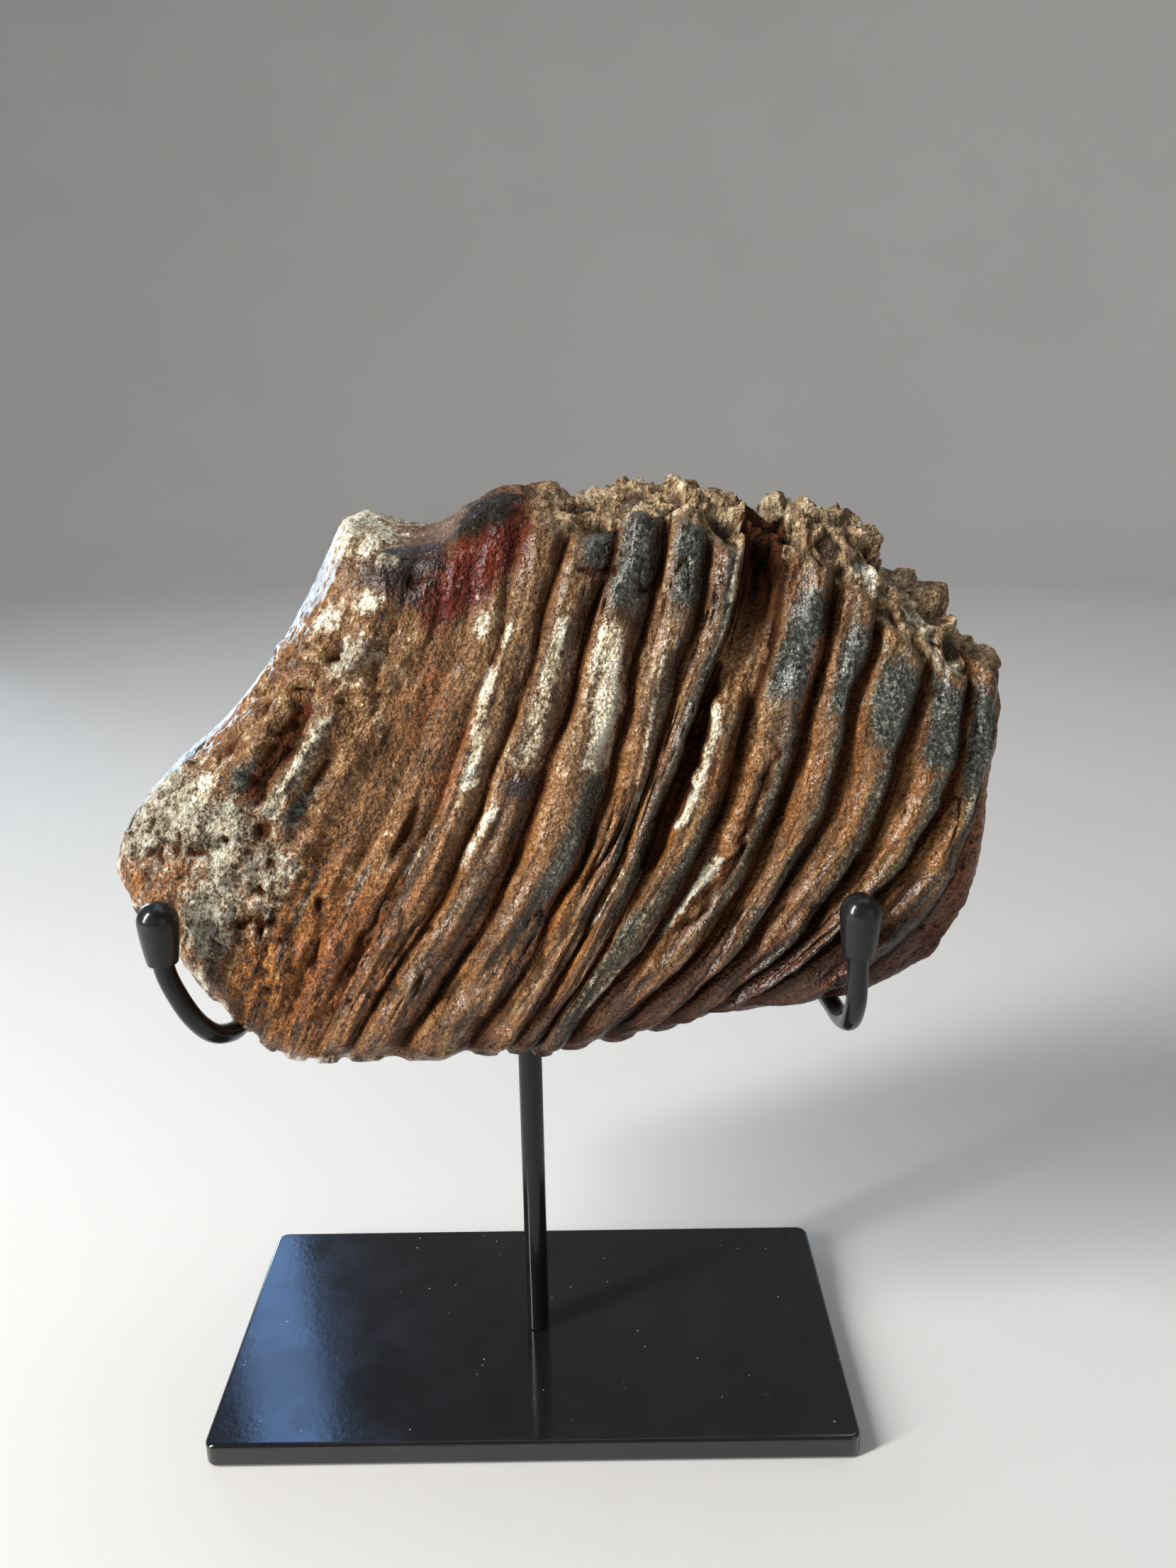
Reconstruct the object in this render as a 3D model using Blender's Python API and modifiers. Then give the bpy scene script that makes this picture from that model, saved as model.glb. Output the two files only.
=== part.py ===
"""A fossil mammoth molar held up on its display stand.

The tooth is one solid. Sixteen upright plates stand side by side along its length, and each is a
closed section: up the front face, over the broken root ends on top, down the back and across the
chewing face below. Lofting the sections gives the ribs on both faces and the ragged, hollow top.

The stand is a flat plate, a post, a bar along the tooth's underside and two cradle rods across it.
Each cradle rod turns up in front of the tooth and behind it, and ends in a soft sleeve at each tip.

Metres, +Z up. The origin is the middle of the plate's underside. The tooth's length lies along X,
its broad front face looks towards -Y, and its root ends point up.
"""

import math

import bmesh
import bpy
import numpy as np
from mathutils import Vector, noise

MM = 0.001

# --- Tooth: the stack of plates ---------------------------------------------------------------
PLATES = 16
END_UNITS = 1.0         # how far the rounded end faces reach past the first and last plate, in plates
HALF_THICKNESS = 32.0   # millimetres, from the middle plane to a rib's valley
TOP_SQUARENESS = 6.0    # superellipse exponents of a section above and below its middle
BOTTOM_SQUARENESS = 6.5
LEFT_ROUNDING = (3.6, 2.2)    # plates over which an end closes, and its superellipse exponent
RIGHT_ROUNDING = (1.6, 3.2)

# The run of chosen plates in the XZ plane, in millimetres, from the root end down to the chewing
# face. The key is the place along the stack: plate 1 is centred on 0.5 and plate 16 on 15.5.
RUNS = {
    -1.0: [(-37, 223), (-45, 208), (-54, 194), (-66, 180), (-80, 168), (-90, 157), (-95, 146)],
    0.5: [(-30, 222), (-37, 207), (-47, 192), (-57, 178), (-67, 164), (-77, 151), (-86, 136)],
    1.5: [(-22, 221), (-26, 207), (-34, 191), (-44, 175), (-55, 159), (-65, 141), (-73, 121)],
    4.5: [(-1, 228), (-4, 207), (-12, 187), (-21, 166), (-32, 145), (-43, 124), (-54, 102)],
    6.5: [(18, 227), (12, 207), (6, 187), (-1, 167), (-10, 147), (-24, 125), (-38, 102)],
    8.5: [(37, 229), (34, 207), (29, 187), (24, 165), (14, 144), (3, 123), (-10, 102)],
    9.5: [(45, 227), (43, 207), (36, 187), (29, 167), (22, 147), (11, 125), (-3, 102)],
    10.5: [(53, 225), (49, 207), (43, 187), (39, 167), (29, 147), (16, 125), (3, 102)],
    12.0: [(67, 223), (64, 204), (61, 186), (57, 168), (49, 149), (36, 129), (14, 104)],
    13.0: [(76, 219), (73, 202), (70, 185), (67, 168), (59, 150), (47, 131), (25, 107)],
    14.0: [(84, 209), (84, 194), (81, 178), (77, 162), (69, 146), (57, 131), (34, 110)],
    15.0: [(93, 202), (93, 188), (92, 174), (87, 159), (78, 145), (63, 130), (42, 113)],
    17.0: [(104, 190), (104, 176), (103, 162), (103, 149), (101, 137), (95, 126), (83, 117)],
}

# How far each plate's rib stands out of the faces, in millimetres, from the left end on.
RIB_HEIGHTS = [1.2, 1.8, 0.7, 0.8, 1.8, 2.6, 2.8, 3.2, 2.2, 2.2, 3.6, 3.4, 3.6, 3.6, 3.4, 2.8]
RIB_FULLNESS = 2.4      # exponent of a rib's profile: broad crests, narrow valleys
# How far each plate's root end stands above or below the smooth line of the top, in millimetres.
ROOT_END_STEPS = [0, 0, 0, 0, -1, 0, -1, 1, 1, -1, -3, 0, 1, -5, 3, -1]
# Where each rib breaks off below the root ends, as a share of the plate's length.
RIB_ENDS = [
    0.02, 0.02, 0.02, 0.02, 0.03, 0.05, 0.07, 0.05, 0.05, 0.06, 0.06, 0.10, 0.10, 0.08, 0.07, 0.05,
]
RIB_END_FADE = (-0.02, 0.01)  # the rib grows to its full height between these, measured from its end
# Zones down a plate, as shares of its length: a feature is absent at the first, full at the second.
ROOT_ENDS = (0.09, 0.02)
CHEWING_FACE = (0.93, 0.985)
THINNING = (0.55, 0.95)       # towards the chewing face the ribs get lower,
THINNING_LOSS = 0.35          # by this share of their height,
CHEWING_LOSS = 0.75           # and on it they are mostly worn away

BROKEN_PLATE = 11       # the plate whose upper part has broken away at the front, leaving a trench
BREAK = (0.29, 0.34)    # below these shares of its length the plate stands whole
TRENCH = (0.31, 0.08)
TRENCH_DEPTH = 5.0
CLEFT_START = (0.2, 0.32)     # a crack runs down the left side of the broken plate,
CLEFT_END = (0.62, 0.5)       # between these shares of its length
CLEFT_DEPTH = 3.0
CLEFT_WIDTH = 0.16      # in plates

BROKEN_TOP = (4.0, 6.5) # the root ends are whole left of the first place and broken right of the second
HOLLOW_DEPTH = 4.0      # the open pulp hollows in the root ends
HOLLOW_PITCH = 15.0     # their spacing from front to back, in millimetres
HOLLOW_SHIFT = 2.1      # radians by which the hollows of one plate are shifted against the last
ROOT_GROOVE = 1.2       # the valleys between the root ends
RAGGED_HEIGHT = 2.4     # how uneven the broken root ends are,
RAGGED_SCALE = 9.0      # and over what distance
LUMP_HEIGHT = 0.9       # the broad unevenness of the whole tooth
LUMP_SCALE = 22.0
END_FADE = 0.5          # plates over which the relief grows from nothing at the two ends
NOISE_GAIN = 1.6        # brings Blender's noise to about -1 to 1

# --- Tooth: how finely the loft is drawn --------------------------------------------------------
STEPS_IN_PLATE = (0.0, 0.15, 0.38, 0.62, 0.85)
STEPS_IN_END = (0.0, 0.06, 0.2, 0.42, 0.7)
SECTION_POINTS = 40
MIDDLE_HEIGHT = 125.0   # millimetres; the length of a plate at mid-stack
TOP_SHARE = 0.08        # the part of a section that is drawn closer, for the broken root ends
TOP_CLOSENESS = 2.2
MEASURING_STEPS = 2001  # fine steps along half a section, to measure it
MERGE_DISTANCE = 0.01 * MM

# --- Stand --------------------------------------------------------------------------------------
PLATE_LENGTH = 160 * MM
PLATE_WIDTH = 80 * MM
PLATE_HEIGHT = 6.5 * MM
PLATE_CORNER = 3 * MM
PLATE_CORNER_SEGMENTS = 4
PLATE_EDGE = 1.1 * MM
PLATE_EDGE_SEGMENTS = 2
SHARP_ANGLE = math.radians(40)  # edges that turn more than this are kept sharp
POST_RADIUS = 3 * MM
POST_SIDES = 24
ROD_RADIUS = 2.25 * MM
ROD_ROUNDNESS = 2       # the curve's bevel resolution
GAP = 0.3 * MM          # between pieces that touch
BAR_HEIGHT = 96.6 * MM  # the bar's middle line, over the post

# Middle lines of the rods, in millimetres. A cradle rod runs from the tip of its front hook down
# and under the tooth to the middle plane, and the rear half mirrors it.
LEFT_CRADLE = [
    (-76.2, -35.5, 144), (-76.2, -35.5, 137), (-76, -35.5, 131), (-74, -35.5, 125), (-71.5, -34.5, 119),
    (-69, -31, 113.5), (-66.8, -24, 109.8), (-66.2, -14, 108.2), (-66, 0, 107.5),
]
RIGHT_CRADLE = [
    (72, -40.8, 146), (72, -40.8, 139), (72, -40.8, 131), (72.2, -39.8, 123), (72, -36.5, 117.4),
    (71.6, -31, 114.8), (71, -22, 113.8), (70.5, -12, 112.8), (70.5, 0, 112.2),
]
BAR = [
    (-64.2, 0, 105.7), (-59.2, 0, 99.7), (-53, 0, 97.2), (-44, 0, 96.6), (-12, 0, 96.6), (0, 0, 96.6),
    (8, 0, 96.9), (18, 0, 98.6), (30, 0, 102.5), (46, 0, 107.4), (60, 0, 110.4), (67.9, 0, 111.8),
]
ROD_SAMPLES_PER_POINT = 2

SLEEVE_LENGTH = 14 * MM
SLEEVE_TIP_RADIUS = 4.4 * MM
SLEEVE_MOUTH_RADIUS = 3.3 * MM
SLEEVE_WALL_AT_TIP = 2.5 * MM
SLEEVE_WAIST_SHARE = 0.93       # of the tip's radius,
SLEEVE_WAIST_DOWN = 0.6         # at this share of the length
SLEEVE_DOME_STEPS = 4
SLEEVE_SIDES = 12

# Colour, roughness and metallic value of each finish.
FOSSIL = ((0.36, 0.19, 0.08), 0.38, 0.0)
LACQUER = ((0.006, 0.006, 0.008), 0.18, 0.0)
BLACK_PAINT = ((0.008, 0.008, 0.009), 0.25, 0.0)
BLACK_RUBBER = ((0.012, 0.012, 0.013), 0.4, 0.0)


def smooth_through(knots, values, places):
    """Values at the places along a smooth cubic curve that passes through every knot."""
    knots = np.asarray(knots, float)
    values = np.asarray(values, float)
    slopes = np.gradient(values, knots, axis=0)
    places = np.asarray(places, float)
    left = np.clip(np.searchsorted(knots, places, side="right") - 1, 0, len(knots) - 2)
    width = knots[left + 1] - knots[left]
    t = (places - knots[left]) / width
    shape = (-1,) + (1,) * (values.ndim - 1)
    t = t.reshape(shape)
    width = width.reshape(shape)
    start = (1 + 2 * t) * (1 - t) ** 2 * values[left] + t * (1 - t) ** 2 * width * slopes[left]
    end = t * t * (3 - 2 * t) * values[left + 1] + t * t * (t - 1) * width * slopes[left + 1]
    return start + end


def step(low, high, value):
    """0 below low, 1 above high, and a smooth rise between them; low may be the larger."""
    t = np.clip((value - low) / (high - low), 0.0, 1.0)
    return t * t * (3 - 2 * t)


def section_angles(count):
    """Angles of a section's points, from the top round by the front: evenly spaced, closer on top."""
    fine = np.linspace(0.0, math.pi, MEASURING_STEPS)
    down, across = section_shape(fine)
    lengths = np.hypot(np.diff(down) * MIDDLE_HEIGHT, np.diff(across) * HALF_THICKNESS)
    lengths *= np.where(down[1:] < TOP_SHARE, TOP_CLOSENESS, 1.0)
    travelled = np.concatenate([[0.0], np.cumsum(lengths)])
    front = np.interp(np.linspace(0.0, travelled[-1], count // 2 + 1), travelled, fine)
    return np.concatenate([front, 2 * math.pi - front[-2:0:-1]])


def section_shape(angles):
    """Share of the way down a plate, and share of the half thickness (front negative)."""
    cosine = np.cos(angles)
    sine = np.sin(angles)
    power = 2.0 / np.where(cosine > 0, TOP_SQUARENESS, BOTTOM_SQUARENESS)
    down = 0.5 - 0.5 * np.sign(cosine) * np.abs(cosine) ** power
    across = -np.sign(sine) * np.abs(sine) ** power
    return down, across


def stack_places():
    """Where the sections stand along the stack, closer together where the shape turns."""
    places = [END_UNITS * (share - 1.0) for share in STEPS_IN_END]
    for plate in range(PLATES):
        places += [plate + share for share in STEPS_IN_PLATE]
    places += [PLATES + END_UNITS * (1.0 - share) for share in reversed(STEPS_IN_END)]
    return np.array(sorted(places))


def base_surface(places, angles):
    """The tooth with no ribs: a grid of points, one row for each section, in millimetres."""
    starts = sorted(RUNS)
    runs = smooth_through(starts, [RUNS[key] for key in starts], places)
    down, across = section_shape(angles)
    knots = np.linspace(0.0, 1.0, runs.shape[1])
    middle = smooth_through(knots, runs.transpose(1, 0, 2), down).transpose(1, 0, 2)
    closing = np.ones(len(places))
    for gap, (reach, power) in (
        (places + END_UNITS, LEFT_ROUNDING),
        (PLATES + END_UNITS - places, RIGHT_ROUNDING),
    ):
        inward = np.clip(1.0 - gap / reach, 0.0, 1.0)
        closing *= (1.0 - inward ** power) ** (1.0 / power)
    depth = HALF_THICKNESS * closing[:, None] * across[None, :]
    return np.stack([middle[:, :, 0], depth, middle[:, :, 1]], axis=2)


def surface_normals(points):
    """Unit normals of the grid, pointing out of the tooth."""
    along = np.gradient(points, axis=0)
    around = np.roll(points, -1, axis=1) - np.roll(points, 1, axis=1)
    normals = np.cross(around, along)
    lengths = np.linalg.norm(normals, axis=2, keepdims=True)
    return normals / np.maximum(lengths, 1e-6)


def noise_field(points, scale, seed):
    """Smooth noise between about -1 and 1 at each grid point."""
    flat = points.reshape(-1, 3)
    values = [noise.noise(Vector(point) / scale + Vector((seed, 0.0, -seed))) for point in flat]
    return np.array(values).reshape(points.shape[:2]) * NOISE_GAIN


def relief(places, angles, points):
    """How far the real surface stands out from the base surface, in millimetres."""
    down, across = section_shape(angles)
    down = np.broadcast_to(down, points.shape[:2])
    across = np.broadcast_to(across, points.shape[:2])
    stack = np.broadcast_to(places[:, None], points.shape[:2])
    plate = np.clip(np.floor(stack), 0, PLATES - 1).astype(int)
    phase = np.clip(stack - plate, 0.0, 1.0)
    rib = 1.0 - np.abs(2.0 * phase - 1.0) ** RIB_FULLNESS
    heights = np.array(RIB_HEIGHTS)[plate]
    front = across < 0
    on_top = step(*ROOT_ENDS, down)
    on_chewing_face = step(*CHEWING_FACE, down)
    below_rib_end = down - np.array(RIB_ENDS)[plate]
    on_faces = step(*RIB_END_FADE, below_rib_end) * (1.0 - CHEWING_LOSS * on_chewing_face)
    thinning = 1.0 - THINNING_LOSS * step(*THINNING, down)
    broken = (plate == BROKEN_PLATE - 1) & front
    rib_there = np.where(broken, step(*BREAK, down), 1.0)
    trench = np.where(broken, step(*TRENCH, down), 0.0)
    faces = rib * (heights * thinning * rib_there - TRENCH_DEPTH * trench)
    cleft_run = step(*CLEFT_START, down) * step(*CLEFT_END, down) * front
    from_cleft = (stack - (BROKEN_PLATE - 1)) / CLEFT_WIDTH
    faces -= CLEFT_DEPTH * cleft_run * np.exp(-(from_cleft ** 2))

    hollow_wave = np.sin(2 * math.pi * points[:, :, 1] / HOLLOW_PITCH + HOLLOW_SHIFT * plate)
    top = RAGGED_HEIGHT * noise_field(points, RAGGED_SCALE, 3.0)
    top -= HOLLOW_DEPTH * rib * np.clip(hollow_wave, 0.0, 1.0)
    top += rib * np.array(ROOT_END_STEPS)[plate] - ROOT_GROOVE * (1.0 - rib)
    top *= step(*BROKEN_TOP, stack)
    lumps = LUMP_HEIGHT * noise_field(points, LUMP_SCALE, 11.0)
    from_left = stack + END_UNITS
    from_right = PLATES + END_UNITS - stack
    ends = step(0.0, END_FADE, from_left) * step(0.0, END_FADE, from_right)
    return ends * (faces * on_faces + top * on_top + lumps)


def grid_object(name, points, collection):
    """A closed mesh through the sections, whose first and last ones are folded flat and welded."""
    rows, columns = points.shape[:2]
    mesh = bmesh.new()
    grid = [[mesh.verts.new(points[row, column] * MM) for column in range(columns)] for row in range(rows)]
    for row in range(rows - 1):
        for column in range(columns):
            after = (column + 1) % columns
            corners = (grid[row][column], grid[row][after], grid[row + 1][after], grid[row + 1][column])
            mesh.faces.new(corners)
    bmesh.ops.remove_doubles(mesh, verts=mesh.verts, dist=MERGE_DISTANCE)
    bmesh.ops.triangulate(mesh, faces=mesh.faces)
    bmesh.ops.recalc_face_normals(mesh, faces=mesh.faces)
    data = bpy.data.meshes.new(name)
    mesh.to_mesh(data)
    mesh.free()
    data.shade_smooth()
    made = bpy.data.objects.new(name, data)
    collection.objects.link(made)
    return made


def make_tooth(collection):
    places = stack_places()
    angles = section_angles(SECTION_POINTS)
    base = base_surface(places, angles)
    points = base + surface_normals(base) * relief(places, angles, base)[:, :, None]
    return grid_object("tooth", points, collection)


def link_only(made, collection):
    """Puts an object into the collection and takes it out of every other one."""
    for other in list(made.users_collection):
        other.objects.unlink(made)
    collection.objects.link(made)


def make_base_plate(collection):
    mesh = bmesh.new()
    bmesh.ops.create_cube(mesh, size=1.0)
    bmesh.ops.scale(mesh, vec=(PLATE_LENGTH, PLATE_WIDTH, PLATE_HEIGHT), verts=mesh.verts)
    uprights = [edge for edge in mesh.edges if abs(edge.verts[0].co.z - edge.verts[1].co.z) > GAP]
    bmesh.ops.bevel(
        mesh, geom=uprights, offset=PLATE_CORNER, segments=PLATE_CORNER_SEGMENTS, profile=0.5, affect="EDGES"
    )
    data = bpy.data.meshes.new("base_plate")
    mesh.to_mesh(data)
    mesh.free()
    made = bpy.data.objects.new("base_plate", data)
    made.location.z = PLATE_HEIGHT / 2
    collection.objects.link(made)
    rounding = made.modifiers.new("edges", "BEVEL")
    rounding.width = PLATE_EDGE
    rounding.segments = PLATE_EDGE_SEGMENTS
    rounding.limit_method = "ANGLE"
    rounding.angle_limit = SHARP_ANGLE
    data.shade_smooth()
    data.set_sharp_from_angle(angle=SHARP_ANGLE)
    return made


def make_post(collection):
    low = PLATE_HEIGHT + GAP
    high = BAR_HEIGHT - ROD_RADIUS - GAP
    bpy.ops.mesh.primitive_cylinder_add(
        vertices=POST_SIDES, radius=POST_RADIUS, depth=high - low, location=(0, 0, (low + high) / 2)
    )
    made = bpy.context.object
    made.name = "post"
    made.data.shade_smooth()
    made.data.set_sharp_from_angle(angle=SHARP_ANGLE)
    link_only(made, collection)
    return made


def make_rod(name, route, collection):
    """A round rod whose middle line runs smoothly through the route's points (millimetres)."""
    route = np.array(route, float)
    spans = np.linalg.norm(np.diff(route, axis=0), axis=1)
    travelled = np.concatenate([[0.0], np.cumsum(spans)])
    samples = np.linspace(0.0, travelled[-1], ROD_SAMPLES_PER_POINT * len(route))
    middle_line = smooth_through(travelled, route, samples) * MM
    data = bpy.data.curves.new(name, "CURVE")
    data.dimensions = "3D"
    data.bevel_depth = ROD_RADIUS
    data.bevel_resolution = ROD_ROUNDNESS
    data.use_fill_caps = True
    spline = data.splines.new("POLY")
    spline.points.add(len(middle_line) - 1)
    for point, place in zip(spline.points, middle_line):
        point.co = (*place, 1.0)
    spline.use_smooth = True
    made = bpy.data.objects.new(name, data)
    collection.objects.link(made)
    return made


def make_sleeve(name, tip, collection):
    """A soft cap, turned round the rod's upright end: closed and full at its tip, slim at its mouth."""
    bore = ROD_RADIUS + GAP
    profile = []
    for number in range(SLEEVE_DOME_STEPS + 1):
        angle = math.radians(90 * (1 - number / SLEEVE_DOME_STEPS))
        profile.append((SLEEVE_TIP_RADIUS * math.cos(angle), SLEEVE_TIP_RADIUS * (math.sin(angle) - 1)))
    profile.append((SLEEVE_WAIST_SHARE * SLEEVE_TIP_RADIUS, -SLEEVE_WAIST_DOWN * SLEEVE_LENGTH))
    profile.append((SLEEVE_MOUTH_RADIUS, -SLEEVE_LENGTH))
    profile.append((bore, -SLEEVE_LENGTH))
    profile.append((bore, -SLEEVE_WALL_AT_TIP))
    profile.append((0.0, -SLEEVE_WALL_AT_TIP))
    data = bpy.data.meshes.new(name)
    edges = [(index, index + 1) for index in range(len(profile) - 1)]
    data.from_pydata([(across, 0.0, height) for across, height in profile], edges, [])
    made = bpy.data.objects.new(name, data)
    made.location = (tip[0], tip[1], tip[2] + SLEEVE_WALL_AT_TIP + GAP)
    collection.objects.link(made)
    turning = made.modifiers.new("turned", "SCREW")
    turning.steps = SLEEVE_SIDES
    turning.render_steps = SLEEVE_SIDES
    turning.use_merge_vertices = True
    turning.merge_threshold = MERGE_DISTANCE
    turning.use_smooth_shade = True
    return made


def paint(made, name, finish):
    """Gives an object a plain material of its own."""
    colour, roughness, metallic = finish
    material = bpy.data.materials.new(name)
    material.use_nodes = True
    shader = material.node_tree.nodes["Principled BSDF"]
    shader.inputs["Base Color"].default_value = (*colour, 1.0)
    shader.inputs["Roughness"].default_value = roughness
    shader.inputs["Metallic"].default_value = metallic
    made.data.materials.append(material)


def main():
    for old in list(bpy.data.objects):
        bpy.data.objects.remove(old, do_unlink=True)
    collection = bpy.data.collections.new("mammoth_tooth_on_stand")
    bpy.context.scene.collection.children.link(collection)

    paint(make_tooth(collection), "fossil", FOSSIL)
    paint(make_base_plate(collection), "lacquer", LACQUER)
    paint(make_post(collection), "post_paint", BLACK_PAINT)
    paint(make_rod("cross_bar", BAR, collection), "bar_paint", BLACK_PAINT)
    for side, front_half in (("left", LEFT_CRADLE), ("right", RIGHT_CRADLE)):
        rear_half = [(x, -y, z) for x, y, z in reversed(front_half[:-1])]
        rod = make_rod(f"{side}_cradle_rod", front_half + rear_half, collection)
        paint(rod, f"{side}_rod_paint", BLACK_PAINT)
        for end, tip in (("front", front_half[0]), ("rear", rear_half[-1])):
            sleeve = make_sleeve(f"{side}_{end}_sleeve", Vector(tip) * MM, collection)
            paint(sleeve, f"{side}_{end}_sleeve_rubber", BLACK_RUBBER)


main()
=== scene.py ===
"""Looks of a fossil mammoth molar on its display stand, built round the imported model.

The tooth is one fine mesh in its solid's space: the same stack of plates, with the cracks, pores,
wrinkles and broken root ends that the solid only hints at. The stand is drawn again, rounder, at the
solids' own sizes.

Lengths of the tooth are in millimetres until its mesh is made. "stack" counts plates from the left end
(plate 1 is centred on 0.5), and "down" is the share of the way from the root ends to the chewing face.
A fade is where a change starts and ends and, unless they are 0 and 1, the values before and after it.
"""

import math

import bmesh
import bpy
import numpy as np
from mathutils import Matrix, Vector, noise


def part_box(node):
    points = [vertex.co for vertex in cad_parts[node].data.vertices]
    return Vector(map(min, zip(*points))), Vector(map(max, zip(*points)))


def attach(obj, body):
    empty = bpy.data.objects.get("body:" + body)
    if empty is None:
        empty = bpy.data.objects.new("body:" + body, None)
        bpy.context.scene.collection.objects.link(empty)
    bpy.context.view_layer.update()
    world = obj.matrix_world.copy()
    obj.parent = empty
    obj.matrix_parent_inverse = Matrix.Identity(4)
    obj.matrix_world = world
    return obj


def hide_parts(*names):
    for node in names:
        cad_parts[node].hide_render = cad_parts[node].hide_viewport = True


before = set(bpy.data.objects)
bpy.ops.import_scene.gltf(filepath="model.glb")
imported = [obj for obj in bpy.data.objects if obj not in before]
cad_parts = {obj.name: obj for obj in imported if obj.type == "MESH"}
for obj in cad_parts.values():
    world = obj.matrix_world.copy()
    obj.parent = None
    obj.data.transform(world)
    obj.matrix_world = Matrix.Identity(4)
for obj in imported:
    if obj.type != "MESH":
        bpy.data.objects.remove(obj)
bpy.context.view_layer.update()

MM = 0.001

# --- Camera ---
CAMERA_PLACE = (0.01548, -0.27471, 0.24581)
CAMERA_PITCH = math.radians(17.23)  # looking down
CAMERA_YAW = math.radians(0.029)
CAMERA_ROLL = math.radians(0.789)
CAMERA_LENS = 28.0

# --- Tooth: the stack of plates, as in the solid ---
PLATES = 16
END_UNITS = 1.0  # each end of the stack reaches this far beyond its outer plate
HALF_THICKNESS = 32.0
TOP_SQUARENESS = 6.0
BOTTOM_SQUARENESS = 6.5
LEFT_ROUNDING = (3.6, 2.2)
RIGHT_ROUNDING = (1.6, 3.2)
# x and z along the middle of a plate, from its root end to the chewing face, by its place in the stack.
RUNS = {
    -1.0: [(-37, 223), (-45, 208), (-54, 194), (-66, 180), (-80, 168), (-90, 157), (-95, 146)],
    0.5: [(-30, 222), (-37, 207), (-47, 192), (-57, 178), (-67, 164), (-77, 151), (-86, 136)],
    1.5: [(-22, 221), (-26, 207), (-34, 191), (-44, 175), (-55, 159), (-65, 141), (-73, 121)],
    4.5: [(-1, 228), (-4, 207), (-12, 187), (-21, 166), (-32, 145), (-43, 124), (-54, 102)],
    6.5: [(18, 227), (12, 207), (6, 187), (-1, 167), (-10, 147), (-24, 125), (-38, 102)],
    8.5: [(37, 229), (34, 207), (29, 187), (24, 165), (14, 144), (3, 123), (-10, 102)],
    9.5: [(45, 227), (43, 207), (36, 187), (29, 167), (22, 147), (11, 125), (-3, 102)],
    10.5: [(53, 225), (49, 207), (43, 187), (39, 167), (29, 147), (16, 125), (3, 102)],
    12.0: [(67, 223), (64, 204), (61, 186), (57, 168), (49, 149), (36, 129), (14, 104)],
    13.0: [(76, 219), (73, 202), (70, 185), (67, 168), (59, 150), (47, 131), (25, 107)],
    14.0: [(84, 209), (84, 194), (81, 178), (77, 162), (69, 146), (57, 131), (34, 110)],
    15.0: [(93, 202), (93, 188), (92, 174), (87, 159), (78, 145), (63, 130), (42, 113)],
    17.0: [(104, 190), (104, 176), (103, 162), (103, 149), (101, 137), (95, 126), (83, 117)],
}
# Plate by plate: the rib's height, its crest's place in the plate, its upper end, and how far the
# broken root end stands out.
RIB_HEIGHTS = [0.6, 1.0, 0.4, 0.5, 1.2, 2.4, 3.0, 3.6, 3.0, 3.0, 4.0, 4.0, 4.2, 4.2, 4.0, 3.2]
CREST_PLACES = [
    0.5, 0.5, 0.5, 0.5, 0.5, 0.47, 0.45, 0.48, 0.52, 0.55, 0.58, 0.6, 0.62, 0.63, 0.64, 0.64,
]
RIB_ENDS = [
    0.02, 0.02, 0.02, 0.02, 0.03, 0.05, 0.03, 0.047, 0.055, 0.075, 0.06, 0.08, 0.1, 0.147, 0.13, 0.03,
]
ROOT_END_STEPS = [0, 0, 0, 0, -1, 0, -1, 1, 1, -1, -3, 0, 1, -5, 3, -1]
RIB_FULLNESS = 1.9
RIB_LEAN = 0.6  # towards the right the ribs' left sides slope more gently than their right
LEANING_PLATES = (6.0, 12.0)
FULL_RIB = 3.2  # from this height on a rib's valleys are as dark as they get
RIB_END_FADE = (-0.022, 0.014)
THINNING = (0.55, 0.95, 1.0, 0.65)  # ribs get lower towards the chewing face
ROOT_ENDS = (0.09, 0.02)
CHEWING_FACE = (0.93, 0.985)
RIBS_AFTER_CHEWING = 0.25
BROKEN_PLATE = 11
RIB_GONE = (0.34, 0.29)
TRENCH = (0.31, 0.08)
TRENCH_DEPTH = 5.0
# How far the smooth root ends at the left rise or sink: stack and height.
SADDLE = [
    (-1.0, 0.0), (-0.1, 1.3), (1.2, -1.2), (2.4, -1.6), (3.5, -0.8), (4.5, 0.2), (5.4, 0.0), (17.0, 0.0),
]
BROKEN_TOP = (4.0, 6.5)
HOLLOW_DEPTH = 4.0
HOLLOW_PITCH = 15.0
HOLLOW_SHIFT = 2.1  # radians from one plate's hollows to the next plate's
ROOT_GROOVE = 1.2
TAPER = (-1.0, -0.5)

# --- Tooth: how fine the mesh is ---
ROWS_IN_PLATE = 18
ROWS_IN_END = 22
END_CROWDING = 0.6
FRONT_COLUMNS = 168  # points of a section's front half; the rear half has fewer
REAR_COLUMNS = 112
MIDDLE_HEIGHT = 125.0
TOP_SHARE = 0.06
TOP_CLOSENESS = 1.35
MEASURING_STEPS = 4001
PLATE_PITCH = 10.5  # the middle distance between plates
SQUEEZED = 0.6  # how near to the sides of the solid's box the surface is pressed back
MERGED = 0.01  # points nearer than this are one
TOO_SHORT = 0.005  # and edges shorter than this close up

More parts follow.
